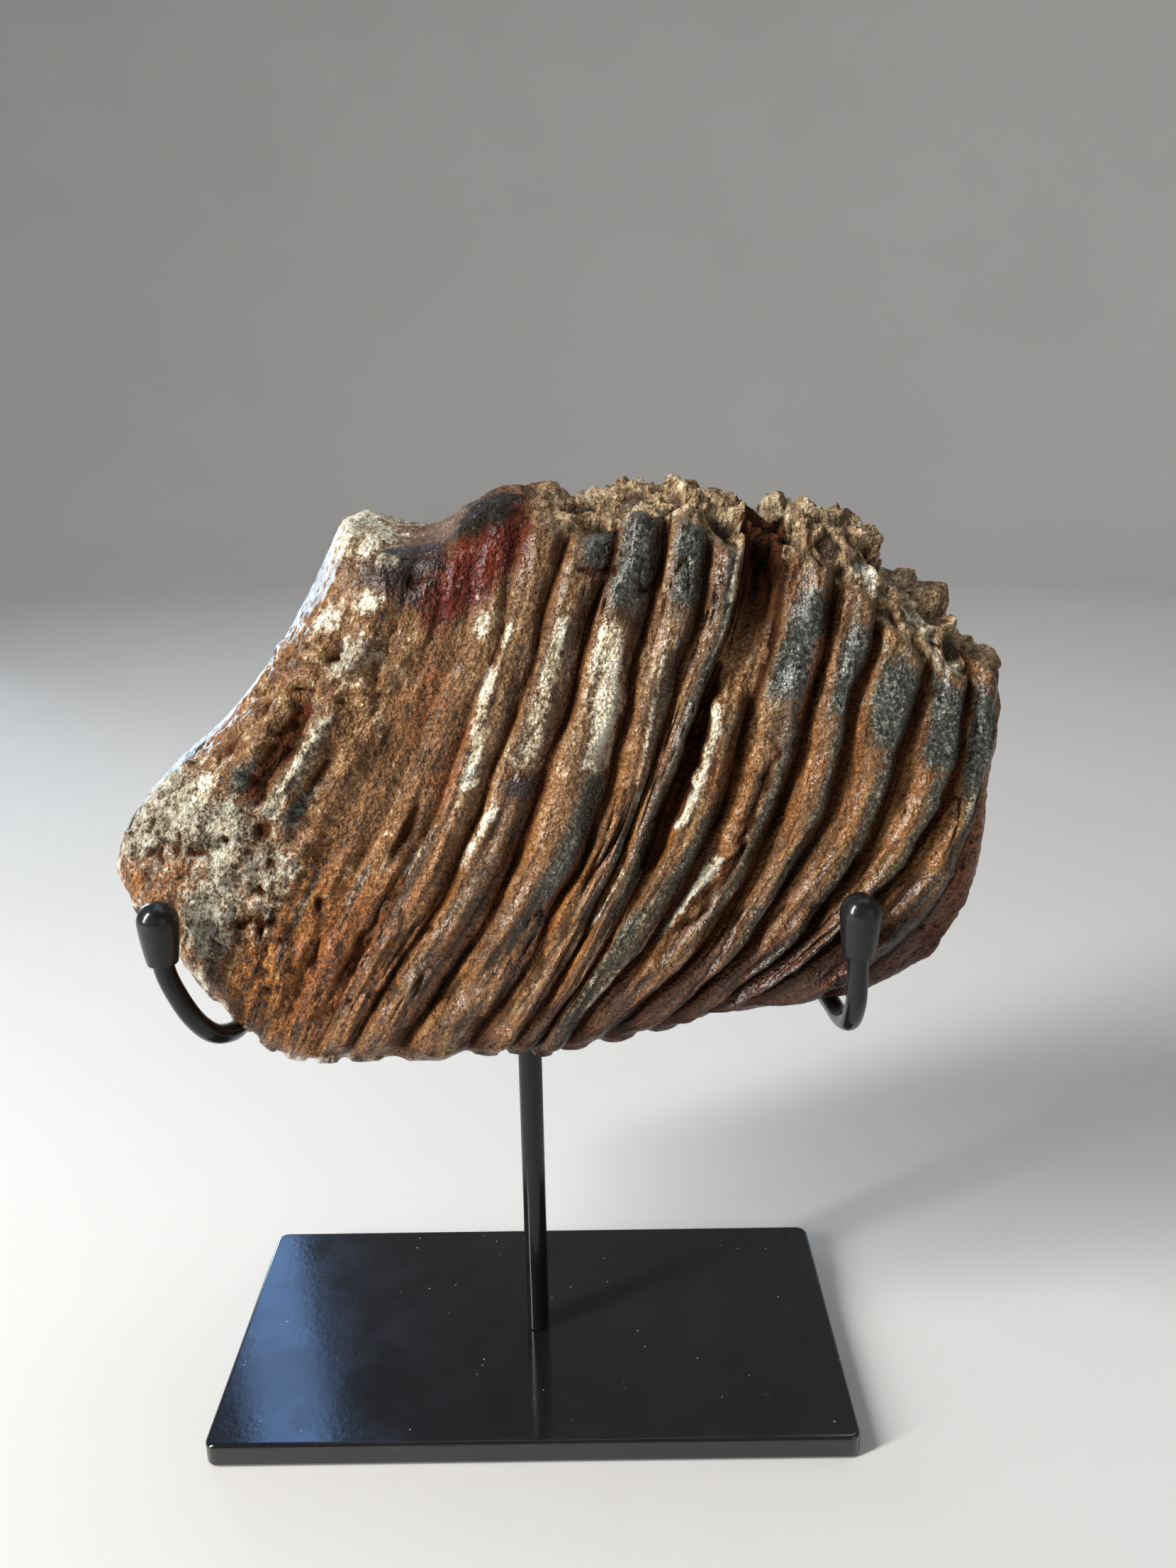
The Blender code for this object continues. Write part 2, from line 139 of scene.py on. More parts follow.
# --- Tooth: noises ---
# Size along the stack, down and through the tooth (or one size for all), seed, and height or reach.
NOISE_GAIN = 1.6
RAGGED = (9.0, 3.0, 2.4)  # the broken root ends
RIB_END_EDGE = ((5.0, 9.0, 12.0), 8.0, 0.012)
LUMPS = (22.0, 11.0, 0.9)
UNEVEN = (6.0, 51.0, 0.45)
GRAINS = (1.7, 61.0)
WANDER = ((30.0, 13.0, 40.0), 5.0, 0.1)  # the borders between plates
BEND_ALONG = ((3.4, 3.4, 20.0), 83.0, 0.09)  # the edges of single marks
BEND_DOWN = ((3.4, 3.4, 20.0), 87.0, 0.008)
SWELLING = ((8.0, 13.0, 30.0), 21.0, 0.95)  # ribs swell and thin along their run
WRINKLES = ((6.0, 2.2, 9.0), 41.0, 0.55)
STRANDS = ((2.1, 24.0, 7.0), 31.0, 0.5)
FINER_STRANDS = ((1.1, 11.0, 4.0), 37.0, 0.28)
SPLIT_LINES = ((4.4, 34.0, 20.0), 43.0)
SPLIT_PLACES = ((14.0, 20.0, 20.0), 47.0)
SCARS = ((5.5, 12.0, 8.0), 17.0, 1.3)
KNOBS = (3.2, 23.0, 1.1)
DENTS = (2.4, 19.0)
PATCHINESS = ((16.0, 22.0, 16.0), 71.0)
# Cells: size and seed.
FACETS = ((6.5, 8.5, 9.0), 29.0)
PORES = ((6.0, 6.0, 7.5), 2.0)
SMALL_PORES = (2.6, 7.0)

# --- Tooth: the fine surface ---
# An area of the faces is one fade along the stack, then fades downward.
FRONT = (0.35, -0.35)  # across
WRINKLES_DOWN = (0.97, 0.88)
STRANDED = ((-2.0, 6.0), (0.45, 0.8, 0.7, 1.3), (0.84, 0.93, 1.0, 0.0), (0.35, 0.6, 1.0, 1.5))
LEAST_STRANDS = 0.35  # where there is hardly a rib
SPLIT_AREA = ((3.5, 6.5), (0.92, 0.86))
SPLIT_EDGE = (0.09, 0.0)
SPLIT_THERE = (0.0, 0.35)
SPLIT_DEPTH = 0.9
ROUGH_LEFT = (4.5, 0.5)
ROUGH_EDGE = ((12.0, 5.0), (0.55, 0.95))
ROUGH_DOWN = ((0.12, 0.3), (0.85, 0.95, 1.0, 0.08))
ROUGH_END = (0.6, -0.6)
ROCKY = ((5.0, 1.0), (0.45, 0.62), (0.97, 0.9))
DENT_EDGE = (0.5, 0.8)
DENT_DEPTH = 1.2
FACET_LEVEL = 0.3
ROUGH_FACETS = 0.6
ROCKY_FACETS = 1.4
RECESS = (0.4, 1.7)
SPONGE_DOWN = 0.25
SPONGE_STRENGTH = (0.05, 0.0, 0.45, 1.0)
SPONGE_WALLS = 0.6
PORE_EDGE = (0.06, 0.34)
PORE_DEPTH = 3.4
SMALL_PORE_EDGE = (0.1, 0.45)
SMALL_PORE_DEPTH = 0.9
GRAIN_HEIGHT = (0.88, 0.97, 0.2, 0.08)
RINGED = (-0.6, 0.2)
RING_HALF = 0.55  # enamel rings of the chewing face, in halves of a plate
RING_WIDTH = 0.16
RING_HEIGHT = 0.9
RING_SIDES = (0.84, 0.7)
RING_END = 0.74
RING_END_WIDTH = 0.05
RING_END_REACH = (RING_HALF + 0.2, RING_HALF)

# Narrow ridges and fissures of the front face: stack and down at both ends, height, half width.
STROKES = [
    ((10.08, 0.28), (10.04, 0.62), -4.2, 1.9),  # the deep fissure beside the broken plate
    ((10.36, 0.33), (10.3, 0.62), 0.9, 0.8),  # its neighbour's thin double crest
    ((10.7, 0.36), (10.66, 0.58), 0.7, 0.7),
    ((10.52, 0.34), (10.48, 0.6), -0.7, 0.6),
    ((11.55, 0.33), (11.5, 0.8), -1.5, 0.8),  # groove along plate 12's crest
    ((11.3, 0.62), (11.05, 0.78), 1.0, 0.9),  # pale lump where plates 11 and 12 meet
    ((9.33, 0.6), (8.95, 0.78), 0.9, 0.6),  # thin light ridge low on plate 10
    ((8.2, 0.66), (8.05, 0.84), 0.7, 0.7),
    ((1.1, 0.37), (1.14, 0.61), -1.8, 1.6),  # red-brown groove at the left
    ((1.52, 0.38), (1.52, 0.62), 1.3, 1.7),  # and the pale ridge beside it
    ((0.62, 0.3), (0.8, 0.52), 0.9, 1.8),
    ((2.35, 0.36), (2.6, 0.6), 0.5, 1.6),
    ((3.3, 0.3), (3.45, 0.62), 0.4, 1.4),
    ((7.52, 0.4), (7.3, 0.66), -0.8, 0.7),  # split crests of plates 8 and 9
    ((8.5, 0.46), (8.35, 0.68), -0.7, 0.7),
    ((12.62, 0.34), (12.55, 0.74), -0.6, 0.6),
    ((13.72, 0.42), (13.6, 0.72), -0.6, 0.6),
    ((6.45, 0.47), (6.3, 0.6), -0.8, 0.8),
    ((4.95, 0.6), (4.7, 0.86), -1.3, 0.9),
    ((3.9, 0.72), (3.8, 0.9), -0.9, 0.8),
]
STROKE_TAPER = (0.15, 0.85)  # the part of half a sine wave that a stroke's height follows
# Pits and lumps of the front face: stack, down, half widths along both, height.
SPOTS = [
    (4.62, 0.545, 0.17, 0.04, -2.2),  # the dark spindle-shaped pit
    (2.25, 0.79, 0.16, 0.016, -1.9),
    (3.43, 0.695, 0.16, 0.012, -2.2),
    (6.18, 0.726, 0.1, 0.01, -1.8),
    (2.9, 0.79, 0.2, 0.009, -1.3),
    (1.45, 0.156, 0.5, 0.028, 1.8),  # cream lumps near the left root ends
    (1.4, 0.055, 0.35, 0.022, 1.6),
    (0.2, 0.02, 0.6, 0.02, 0.8),
    (6.55, 0.47, 0.3, 0.02, 1.0),  # glossy dark swelling on plate 7
    (2.2, 0.1, 0.5, 0.02, -1.2),
    (6.75, 0.108, 0.36, 0.007, -1.6),  # the notch across plate 7, under its dark top
    (5.6, 0.545, 0.25, 0.016, 0.8),
    (7.15, 0.56, 0.3, 0.024, 0.9),
]

# Blue-grey enamel laid bare along the ribs: stack, half width in plates, down from and to, strength.
ENAMEL = [
    (6.8, 0.34, 0.02, 0.1, 1.2), (6.45, 0.22, 0.56, 0.86, 0.5), (7.6, 0.46, 0.03, 0.17, 1.1),
    (7.68, 0.22, 0.42, 0.68, 0.85), (7.56, 0.2, 0.66, 0.92, 0.5), (8.66, 0.44, 0.03, 0.17, 1.1),
    (8.76, 0.24, 0.18, 0.46, 0.55), (8.78, 0.24, 0.46, 0.72, 0.85), (9.66, 0.3, 0.06, 0.19, 1.0),
    (9.64, 0.26, 0.2, 0.5, 0.7), (9.66, 0.26, 0.48, 0.74, 0.85), (10.8, 0.22, 0.5, 0.75, 0.8),
    (10.52, 0.34, 0.68, 0.95, 0.9), (11.62, 0.42, 0.12, 0.32, 1.1), (11.74, 0.24, 0.3, 0.76, 0.7),
    (12.7, 0.36, 0.16, 0.34, 1.1), (12.78, 0.24, 0.32, 0.84, 0.72), (13.64, 0.42, 0.18, 0.36, 1.1),
    (13.78, 0.22, 0.34, 0.86, 0.78), (14.62, 0.44, 0.16, 0.36, 1.1), (14.78, 0.23, 0.34, 0.84, 0.8),
    (15.58, 0.44, 0.11, 0.38, 1.1), (15.76, 0.22, 0.36, 0.84, 0.75), (1.9, 0.18, 0.53, 0.63, 0.9),
    (0.85, 0.2, 0.52, 0.6, 0.9), (0.3, 0.25, 0.8, 0.92, 0.6), (3.05, 0.14, 0.64, 0.86, 0.7),
    (4.15, 0.12, 0.6, 0.9, 0.7), (5.2, 0.14, 0.52, 0.92, 0.75),
]
BAND_FADE = 0.045
# Colour patches of the front face: stack, down, half widths along both, strength.
PATCHES = {
    "cream_and_highlight": [
        (0.0, 0.01, 1.1, 0.05, 1.8), (13.85, 0.065, 0.5, 0.03, 0.9), (12.7, 0.08, 0.4, 0.03, 0.6),
        (1.35, 0.15, 0.26, 0.026, 1.1), (0.6, 0.19, 0.3, 0.035, 0.7), (4.45, 0.19, 0.2, 0.024, 0.8),
        (5.2, 0.205, 0.12, 0.04, 0.8), (14.9, 0.12, 0.35, 0.02, 0.9), (9.95, 0.11, 0.14, 0.06, 0.6),
        (0.4, 0.6, 0.3, 0.06, 0.7), (2.4, 0.78, 0.14, 0.06, 0.8), (5.5, 0.985, 3.0, 0.012, 0.6),
    ],
    "purple": [
        (1.9, 0.06, 1.1, 0.06, 1.25), (2.75, 0.12, 1.0, 0.045, 1.15), (6.6, 0.465, 0.35, 0.03, 1.0),
    ],
    "red": [(4.2, 0.06, 0.8, 0.05, 0.8), (16.9, 0.06, 0.7, 0.06, 0.8)],
    "grey": [
        (3.97, 0.01, 1.0, 0.04, 1.2), (1.78, 0.245, 0.3, 0.035, 0.5), (3.0, 0.42, 0.5, 0.06, 0.6),
        (4.62, 0.545, 0.2, 0.045, 1.0),
    ],
    "pale_and_glint": [
        # The first pale patch is a painted highlight, a whitish glint on the purple stain; the rest are
        # pale colour.
        (1.45, 0.062, 0.3, 0.018, 1.1), (1.85, 0.25, 0.45, 0.045, 0.55), (-0.2, 0.72, 1.1, 0.13, 0.9),
        (-0.9, 0.82, 0.8, 0.13, 0.9), (0.9, 0.68, 0.9, 0.07, 0.75), (1.22, 0.265, 0.2, 0.045, 0.7),
        (2.3, 0.7, 0.5, 0.08, 0.55), (1.45, 0.85, 0.5, 0.09, 0.9), (1.0, 1.0, 1.6, 0.05, 0.7),
    ],
    "rust": [
        (17.0, 0.8, 1.2, 0.35, 1.2), (13.0, 1.0, 4.0, 0.05, 0.9), (4.5, 0.8, 1.6, 0.16, 0.6),
        (3.7, 0.33, 0.9, 0.13, 0.55), (5.0, 0.43, 0.5, 0.11, 0.6),
    ],
}
# Colour along a line: stack and down at both ends, half width, strength.
STREAKS = {
    # Mostly painted highlights along the crests, partly pale colour.
    "cream_and_highlight": [
        ((5.14, 0.27), (5.5, 0.46), 1.6, 0.95), ((6.46, 0.19), (6.53, 0.42), 2.0, 0.95),
        ((7.36, 0.2), (7.64, 0.32), 2.1, 1.15), ((7.66, 0.33), (7.62, 0.42), 2.1, 1.1),
        ((8.42, 0.22), (8.56, 0.42), 0.9, 0.6), ((9.76, 0.09), (9.64, 0.15), 1.6, 0.7),
        ((10.38, 0.34), (10.26, 0.54), 1.5, 0.85), ((11.28, 0.62), (11.0, 0.78), 1.5, 1.0),
        ((10.95, 0.78), (10.6, 0.9), 1.1, 0.7), ((9.3, 0.62), (8.95, 0.8), 0.8, 0.8),
        ((6.3, 0.5), (6.05, 0.62), 1.3, 0.6), ((5.2, 0.54), (5.0, 0.62), 1.2, 0.55),
        ((1.46, 0.42), (1.48, 0.56), 0.8, 0.8), ((9.76, 0.09), (9.72, 0.14), 1.5, 0.6),
    ],
    "red": [((4.55, 0.05), (3.2, 0.15), 7.5, 1.2), ((1.1, 0.38), (1.14, 0.6), 1.6, 1.1)],
    "pale_and_glint": [((1.5, 0.4), (1.52, 0.6), 1.9, 1.0)],
    "rust": [((11.95, 0.2), (11.9, 0.34), 1.6, 0.9)],
}
MOST_TINT = 1.2

# --- Tooth: where its colours lie ---
RIBBED = ((-0.3, 0.1), (-0.2, 0.1))  # from the left, and from the right
VALLEY_EDGE = (0.5, 0.0)  # by how full the rib is, as the crest's
CREST_EDGE = (0.35, 0.8)
WARM_EDGE = (0.3, 0.75)
LOW_EDGE = (0.4, 1.0)
RIM = ((-0.3, -0.8), (0.1, 0.3), (0.65, 0.45))  # smooth, at the left end
# How dark cracks, splits and recesses are painted: painted shade of the hollows, partly dark stain, as in
# the valleys.
CRACK_DEPTH = 1.5  # cracks this deep are as dark as valleys
SPLIT_DARKNESS = 0.8
RECESS_DARKNESS = 0.8
# How dark the small pores are painted: painted shade in the pits.
SMALL_PORE_DARKNESS = 0.6
PATCHY = (-0.3, 0.4)

# --- Stand ---
ROD_RADIUS = 2.25 * MM
GAP = 0.3 * MM
LEFT_CRADLE = [
    (-76.2, -35.5, 144), (-76.2, -35.5, 137), (-76, -35.5, 131), (-74, -35.5, 125), (-71.5, -34.5, 119),
    (-69, -31, 113.5), (-66.8, -24, 109.8), (-66.2, -14, 108.2), (-66, 0, 107.5),
]
RIGHT_CRADLE = [
    (72, -40.8, 146), (72, -40.8, 139), (72, -40.8, 131), (72.2, -39.8, 123), (72, -36.5, 117.4),
    (71.6, -31, 114.8), (71, -22, 113.8), (70.5, -12, 112.8), (70.5, 0, 112.2),
]
BAR = [
    (-64.2, 0, 105.7), (-59.2, 0, 99.7), (-53, 0, 97.2), (-44, 0, 96.6), (-12, 0, 96.6), (0, 0, 96.6),
    (8, 0, 96.9), (18, 0, 98.6), (30, 0, 102.5), (46, 0, 107.4), (60, 0, 110.4), (67.9, 0, 111.8),
]
ROD_SAMPLES_PER_POINT = 6
SLEEVE_LENGTH = 14 * MM
SLEEVE_TIP_RADIUS = 4.4 * MM
SLEEVE_MOUTH_RADIUS = 3.3 * MM
SLEEVE_WALL_AT_TIP = 2.5 * MM
SLEEVE_BORE = ROD_RADIUS + 0.1 * MM
SLEEVE_EDGE = 0.25 * MM
SLEEVE_TAPER = 1.5
PLATE_CORNER = 3 * MM
PLATE_EDGE = 1.1 * MM
POST_EDGE = 0.5 * MM

# --- Stage ---
FLOOR_RADIUS = 1.6  # metres; the flat floor turns up into a round backdrop
FLOOR_SINK = 0.0002  # how far it lies under the base plate
BACKDROP_BEND = 0.9
BACKDROP_HEIGHT = 3.0
WORLD_COLOUR = (0.9, 0.93, 1.0, 1.0)
WORLD_STRENGTH = 0.1
TOOTH_MIDDLE = (0.0, 0.0, 0.16)
# Soft boxes: name, place, what it points at, width, height, watts, colour, spread in degrees.
LIGHTS = [
    ("key", (-0.84, -0.46, 0.66), TOOTH_MIDDLE, 0.13, 0.8, 24.0, (1.0, 0.98, 0.95), 180.0),
    ("fill", (1.0, -1.1, 0.5), TOOTH_MIDDLE, 1.0, 1.0, 1.6, (1.0, 0.92, 0.84), 180.0),
    ("window", (-0.385, 1.0, 0.98), TOOTH_MIDDLE, 0.09, 0.6, 0.7, (0.26, 0.5, 1.0), 180.0),
    ("rim", (-0.72, 0.98, 0.28), TOOTH_MIDDLE, 0.16, 0.6, 0.42, (0.46, 0.76, 1.0), 40.0),
    ("top", (0.3, 0.5, 1.6), (0.3, 0.6, 0.0), 1.4, 1.4, 9.0, (1.0, 1.0, 1.0), 180.0),
]


# --- Tooth: its shape ---
def smooth_through(knots, values, places):
    """Values at the places along a smooth cubic curve that passes through every knot."""
    knots, values = np.array(knots, float), np.array(values, float)
    slopes = np.gradient(values, knots, axis=0)
    left = np.clip(np.searchsorted(knots, places, side="right") - 1, 0, len(knots) - 2)
    shape = (-1,) + (1,) * (values.ndim - 1)
    width = (knots[left + 1] - knots[left]).reshape(shape)
    t = (places - knots[left]).reshape(shape) / width
    start = (1 + 2 * t) * (1 - t) ** 2 * values[left] + t * (1 - t) ** 2 * width * slopes[left]
    end = t * t * (3 - 2 * t) * values[left + 1] + t * t * (t - 1) * width * slopes[left + 1]
    return start + end


def fade(value, start, end, before=0.0, after=1.0):
    """A smooth change as the value goes from start to end; start may be the larger."""
    t = np.clip((value - start) / (end - start), 0.0, 1.0)
    return before + (after - before) * (t * t * (3 - 2 * t))


def hump(offset, half_width, power=2):
    """1 where the offset is 0, and next to nothing well beyond the half width."""
    return np.exp(-((offset / half_width) ** power))


def section_shape(angles):
    """Share of the way down a plate, and share of the half thickness (front negative)."""
    cosine = np.cos(angles)
    sine = np.sin(angles)
    power = 2.0 / np.where(cosine > 0, TOP_SQUARENESS, BOTTOM_SQUARENESS)
    down = 0.5 - 0.5 * np.sign(cosine) * np.abs(cosine) ** power
    across = -np.sign(sine) * np.abs(sine) ** power
    return down, across


def section_angles():
    """Angles of a section's points, from the top round by the front, evenly spaced on each half."""
    fine = np.linspace(0.0, math.pi, MEASURING_STEPS)
    down, across = section_shape(fine)
    lengths = np.hypot(np.diff(down) * MIDDLE_HEIGHT, np.diff(across) * HALF_THICKNESS)
    lengths *= np.where(down[1:] < TOP_SHARE, TOP_CLOSENESS, 1.0)
    travelled = np.concatenate([[0.0], np.cumsum(lengths)])
    steps = (np.linspace(0.0, travelled[-1], count + 1) for count in (FRONT_COLUMNS, REAR_COLUMNS))
    front, rear = (np.interp(places, travelled, fine) for places in steps)
    return np.concatenate([front, 2 * math.pi - rear[-2:0:-1]])


def stack_places():
    """Where the sections stand along the stack; at the ends they crowd towards the edge."""
    middle = np.linspace(0.0, PLATES, PLATES * ROWS_IN_PLATE + 1)
    end = END_UNITS * np.linspace(0.0, 1.0, ROWS_IN_END + 1)[1:] ** END_CROWDING
    return np.concatenate([-end[::-1], middle, PLATES + end])


def base_surface(places, angles):
    """The tooth with no ribs: a grid of points, one row for each section."""
    starts = sorted(RUNS)
    runs = smooth_through(starts, [RUNS[key] for key in starts], places)
    down, across = section_shape(angles)
    knots = np.linspace(0.0, 1.0, runs.shape[1])
    middle = smooth_through(knots, runs.transpose(1, 0, 2), down).transpose(1, 0, 2)
    closing = np.ones(len(places))
    for gap, (reach, power) in ((places, LEFT_ROUNDING), (PLATES - places, RIGHT_ROUNDING)):
        inward = np.clip(1.0 - (gap + END_UNITS) / reach, 0.0, 1.0)
        closing *= (1.0 - inward ** power) ** (1.0 / power)
    depth = HALF_THICKNESS * closing[:, None] * across[None, :]
    return np.stack([middle[:, :, 0], depth, middle[:, :, 1]], axis=2)


def surface_normals(points):
    """Unit normals of the grid, pointing out of the tooth."""
    along = np.gradient(points, axis=0)
    around = np.roll(points, -1, axis=1) - np.roll(points, 1, axis=1)
    normals = np.cross(around, along)
    lengths = np.linalg.norm(normals, axis=2, keepdims=True)
    return normals / np.maximum(lengths, 1e-6)


def scaled_places(points, scale, seed):
    """The grid's points as a list, in units of the scale and shifted by the seed."""
    shift = np.array([seed, 0.0, -seed])
    return (points.reshape(-1, 3) / np.asarray(scale, float) + shift).tolist()


def noise_field(points, scale, seed, height=1.0):
    """Smooth noise at each grid point, between about -height and height."""
    values = [noise.noise(place) for place in scaled_places(points, scale, seed)]
    return height * (np.array(values).reshape(points.shape[:2]) * NOISE_GAIN)


def cell_field(points, scale, seed):
    """How far inside a cell each grid point is: 0 on the wall between two cells, about 0.7 at most."""
    values = []
    for place in scaled_places(points, scale, seed):
        distances = noise.voronoi(place)[0]
        values.append(distances[1] - distances[0])
    return np.array(values).reshape(points.shape[:2])


def line_field(stack, down, start, end):
    """For each point, its share of the way along a line on the face, and its distance from the line."""
    start = np.array(start) * (PLATE_PITCH, MIDDLE_HEIGHT)
    run = np.array(end) * (PLATE_PITCH, MIDDLE_HEIGHT) - start
    from_start = (stack * PLATE_PITCH - start[0], down * MIDDLE_HEIGHT - start[1])
    share = np.clip((from_start[0] * run[0] + from_start[1] * run[1]) / (run @ run), 0.0, 1.0)
    off = np.hypot(from_start[0] - share * run[0], from_start[1] - share * run[1])
    return share, off


def spot_field(stack, down, spot_stack, spot_down, half_stack, half_down):
    """A round bump of height 1 at one place."""
    return np.exp(-(((stack - spot_stack) / half_stack) ** 2 + ((down - spot_down) / half_down) ** 2))


class Grid:
    """The points of the tooth's surface, and where each lies in the stack and on its plate."""

    def __init__(self, places, angles, points):
        shape = points.shape[:2]
        down, across = section_shape(angles)
        self.points = points
        self.down = np.broadcast_to(down, shape)
        self.across = np.broadcast_to(across, shape)
        self.stack = np.broadcast_to(places[:, None], shape)
        self.front = fade(self.across, *FRONT)
        run = [self.stack * PLATE_PITCH, self.down * MIDDLE_HEIGHT, points[:, :, 1]]
        self.run = np.stack(run, axis=2)
        self.find_ribs()
        self.find_borders()

    def area(self, along, *downward):
        """1 inside an area of the faces and 0 outside it, with soft borders."""
        share = fade(self.stack, *along)
        for limits in downward:
            share = share * fade(self.down, *limits)
        return share

    def between_ends(self, left, right):
        """Fades inward from both ends of the stack."""
        return fade(self.stack, *left) * fade(PLATES - self.stack, *right)

    def find_ribs(self):
        """Each point's plate, its side of the plate's crest (-1 to 1) and how full the rib is there."""
        wander = noise_field(self.run, *WANDER) * self.between_ends((0.0, 1.0), (0.0, 1.0))
        wandered = self.stack + wander
        self.plate = np.clip(np.floor(wandered), 0, PLATES - 1).astype(int)
        phase = np.clip(wandered - self.plate, 0.0, 1.0)
        crest = np.array(CREST_PLACES)[self.plate]
        self.side = (phase - crest) / np.where(phase < crest, crest, 1.0 - crest)
        lean = RIB_LEAN * fade(self.stack, *LEANING_PLATES) * np.sign(self.side)
        self.rib = 1.0 - np.abs(self.side) ** (RIB_FULLNESS + lean)
        self.heights = np.array(RIB_HEIGHTS)[self.plate]
        self.ribness = np.clip(self.heights / FULL_RIB, 0.0, 1.0)

    def find_borders(self):
        """How far each point is on the root ends, the ribbed faces and the chewing face."""
        rib_end = np.array(RIB_ENDS)[self.plate] + noise_field(self.run, *RIB_END_EDGE)
        self.below_end = fade(self.down - rib_end, *RIB_END_FADE)
        self.on_top = fade(self.down, *ROOT_ENDS)
        self.chewed = fade(self.down, *CHEWING_FACE)
        self.on_faces = self.below_end * (1.0 - (1.0 - RIBS_AFTER_CHEWING) * self.chewed)
        broken = self.front * (self.plate == BROKEN_PLATE - 1)
        self.rib_there = 1.0 - broken * fade(self.down, *RIB_GONE)
        self.trench = broken * fade(self.down, *TRENCH)


def rib_relief(grid):
    """Ribs that swell and thin along their run, with lengthwise strands and cross wrinkles."""
    standing = grid.heights * fade(grid.down, *THINNING) * grid.rib_there
    height = grid.rib * (standing - TRENCH_DEPTH * grid.trench)
    wrinkles = noise_field(grid.run, *WRINKLES) * fade(grid.down, *WRINKLES_DOWN)
    height += grid.ribness * grid.rib * (noise_field(grid.run, *SWELLING) + wrinkles)
    strands = noise_field(grid.run, *STRANDS) + noise_field(grid.run, *FINER_STRANDS)
    return height + np.maximum(grid.ribness, LEAST_STRANDS) * grid.area(*STRANDED) * strands


def splits(grid):
    """Thin splits along the ribs, here and there."""
    lines = fade(np.abs(noise_field(grid.run, *SPLIT_LINES)), *SPLIT_EDGE)
    there = fade(noise_field(grid.run, *SPLIT_PLACES), *SPLIT_THERE)
    return lines * there * grid.area(*SPLIT_AREA)


def front_marks(grid):
    """Heights of the strokes and of the spots, whose edges bend a little."""
    stack = grid.stack + noise_field(grid.run, *BEND_ALONG)
    down = grid.down + noise_field(grid.run, *BEND_DOWN)
    strokes = np.zeros(stack.shape)
    for start, end, height, half_width in STROKES:
        share, off = line_field(stack, down, start, end)
        taper = np.sin(math.pi * np.interp(share, (0.0, 1.0), STROKE_TAPER))
        strokes += height * taper * hump(off, half_width)
    spots = np.zeros(stack.shape)
    for *place, height in SPOTS:
        spots += height * spot_field(stack, down, *place)
    return grid.front * strokes, grid.front * spots


def rough_relief(grid):
    """How rough the left end and the lower edge are, and the height of their knobs and facets."""
    rough = np.clip(grid.area(ROUGH_LEFT) + grid.area(*ROUGH_EDGE), 0.0, 1.0)
    for limits in ROUGH_DOWN:
        rough = rough * fade(grid.down, *limits)
    dents = fade(noise_field(grid.points, *DENTS), *DENT_EDGE)
    knobs = noise_field(grid.points, *KNOBS) + noise_field(grid.run, *SCARS)
    facets = cell_field(grid.run, *FACETS) - FACET_LEVEL
    height = rough * (knobs - DENT_DEPTH * dents)
    return rough, height + (ROUGH_FACETS * rough + ROCKY_FACETS * grid.area(*ROCKY)) * facets


def root_end_relief(grid):
    """The root ends: hollows, grooves and walls left standing, and the smooth saddle at the left."""
    hollow_wave = np.sin(2 * math.pi * grid.points[:, :, 1] / HOLLOW_PITCH + HOLLOW_SHIFT * grid.plate)
    height = noise_field(grid.points, *RAGGED)
    height -= HOLLOW_DEPTH * grid.rib * np.clip(hollow_wave, 0.0, 1.0)
    height += grid.rib * np.array(ROOT_END_STEPS)[grid.plate] - ROOT_GROOVE * (1.0 - grid.rib)
    saddle = np.interp(grid.stack, *zip(*SADDLE))
    return (fade(grid.stack, *BROKEN_TOP) * height + saddle) * grid.on_top


def sponge(grid):
    """The spongy break of the root ends: how spongy it is, its pores and its height."""
    above_ribs = (1.0 - grid.below_end) * (grid.down < SPONGE_DOWN)
    spongy = np.maximum(grid.on_top * (1.0 - grid.on_faces), above_ribs)
    spongy = fade(grid.stack, *BROKEN_TOP) * spongy
    pores = fade(cell_field(grid.points, *PORES), *PORE_EDGE)
    small_pores = fade(cell_field(grid.points, *SMALL_PORES), *SMALL_PORE_EDGE)
    height = SPONGE_WALLS - PORE_DEPTH * pores - SMALL_PORE_DEPTH * small_pores
    pores = np.clip(pores + SMALL_PORE_DARKNESS * small_pores, 0.0, 1.0)
    return spongy, pores, spongy * fade(grid.down, *SPONGE_STRENGTH) * height


def enamel_rings(grid):
    """On the chewing face each plate's enamel stands up as a narrow flattened ring."""
    side = np.abs(grid.side)
    across = np.abs(grid.across)
    sides = hump(side - RING_HALF, RING_WIDTH) * fade(across, *RING_SIDES)
    ends = hump(across - RING_END, RING_END_WIDTH) * fade(side, *RING_END_REACH)
    return grid.chewed * grid.between_ends(RINGED, RINGED) * np.maximum(sides, ends)


def place_masks(grid):
    """Masks of the colours that follow the ribs or the whole tooth."""
    ribbed = grid.ribness * grid.on_faces * grid.rib_there * grid.between_ends(*RIBBED)
    along = grid.stack / PLATES
    return {
        "valley": ribbed * fade(grid.rib, *VALLEY_EDGE) + grid.trench,
        "crest": ribbed * fade(grid.rib, *CREST_EDGE),
        # painted shade on the ribs' right sides, away from the light
        "shaded": ribbed * fade(grid.side, 0.1, 0.8),
        # painted light on the ribs' left flanks, which face the light
        "lit_flank": ribbed * fade(grid.side, 0.2, -0.2) * fade(grid.rib, 0.0, 0.4),
        "warm": fade(0.75 * grid.down + 0.35 * along, *WARM_EDGE),
        "low": fade(0.62 * grid.down + 0.38 * along, *LOW_EDGE),
        "rim": grid.front * grid.area(*RIM),
    }


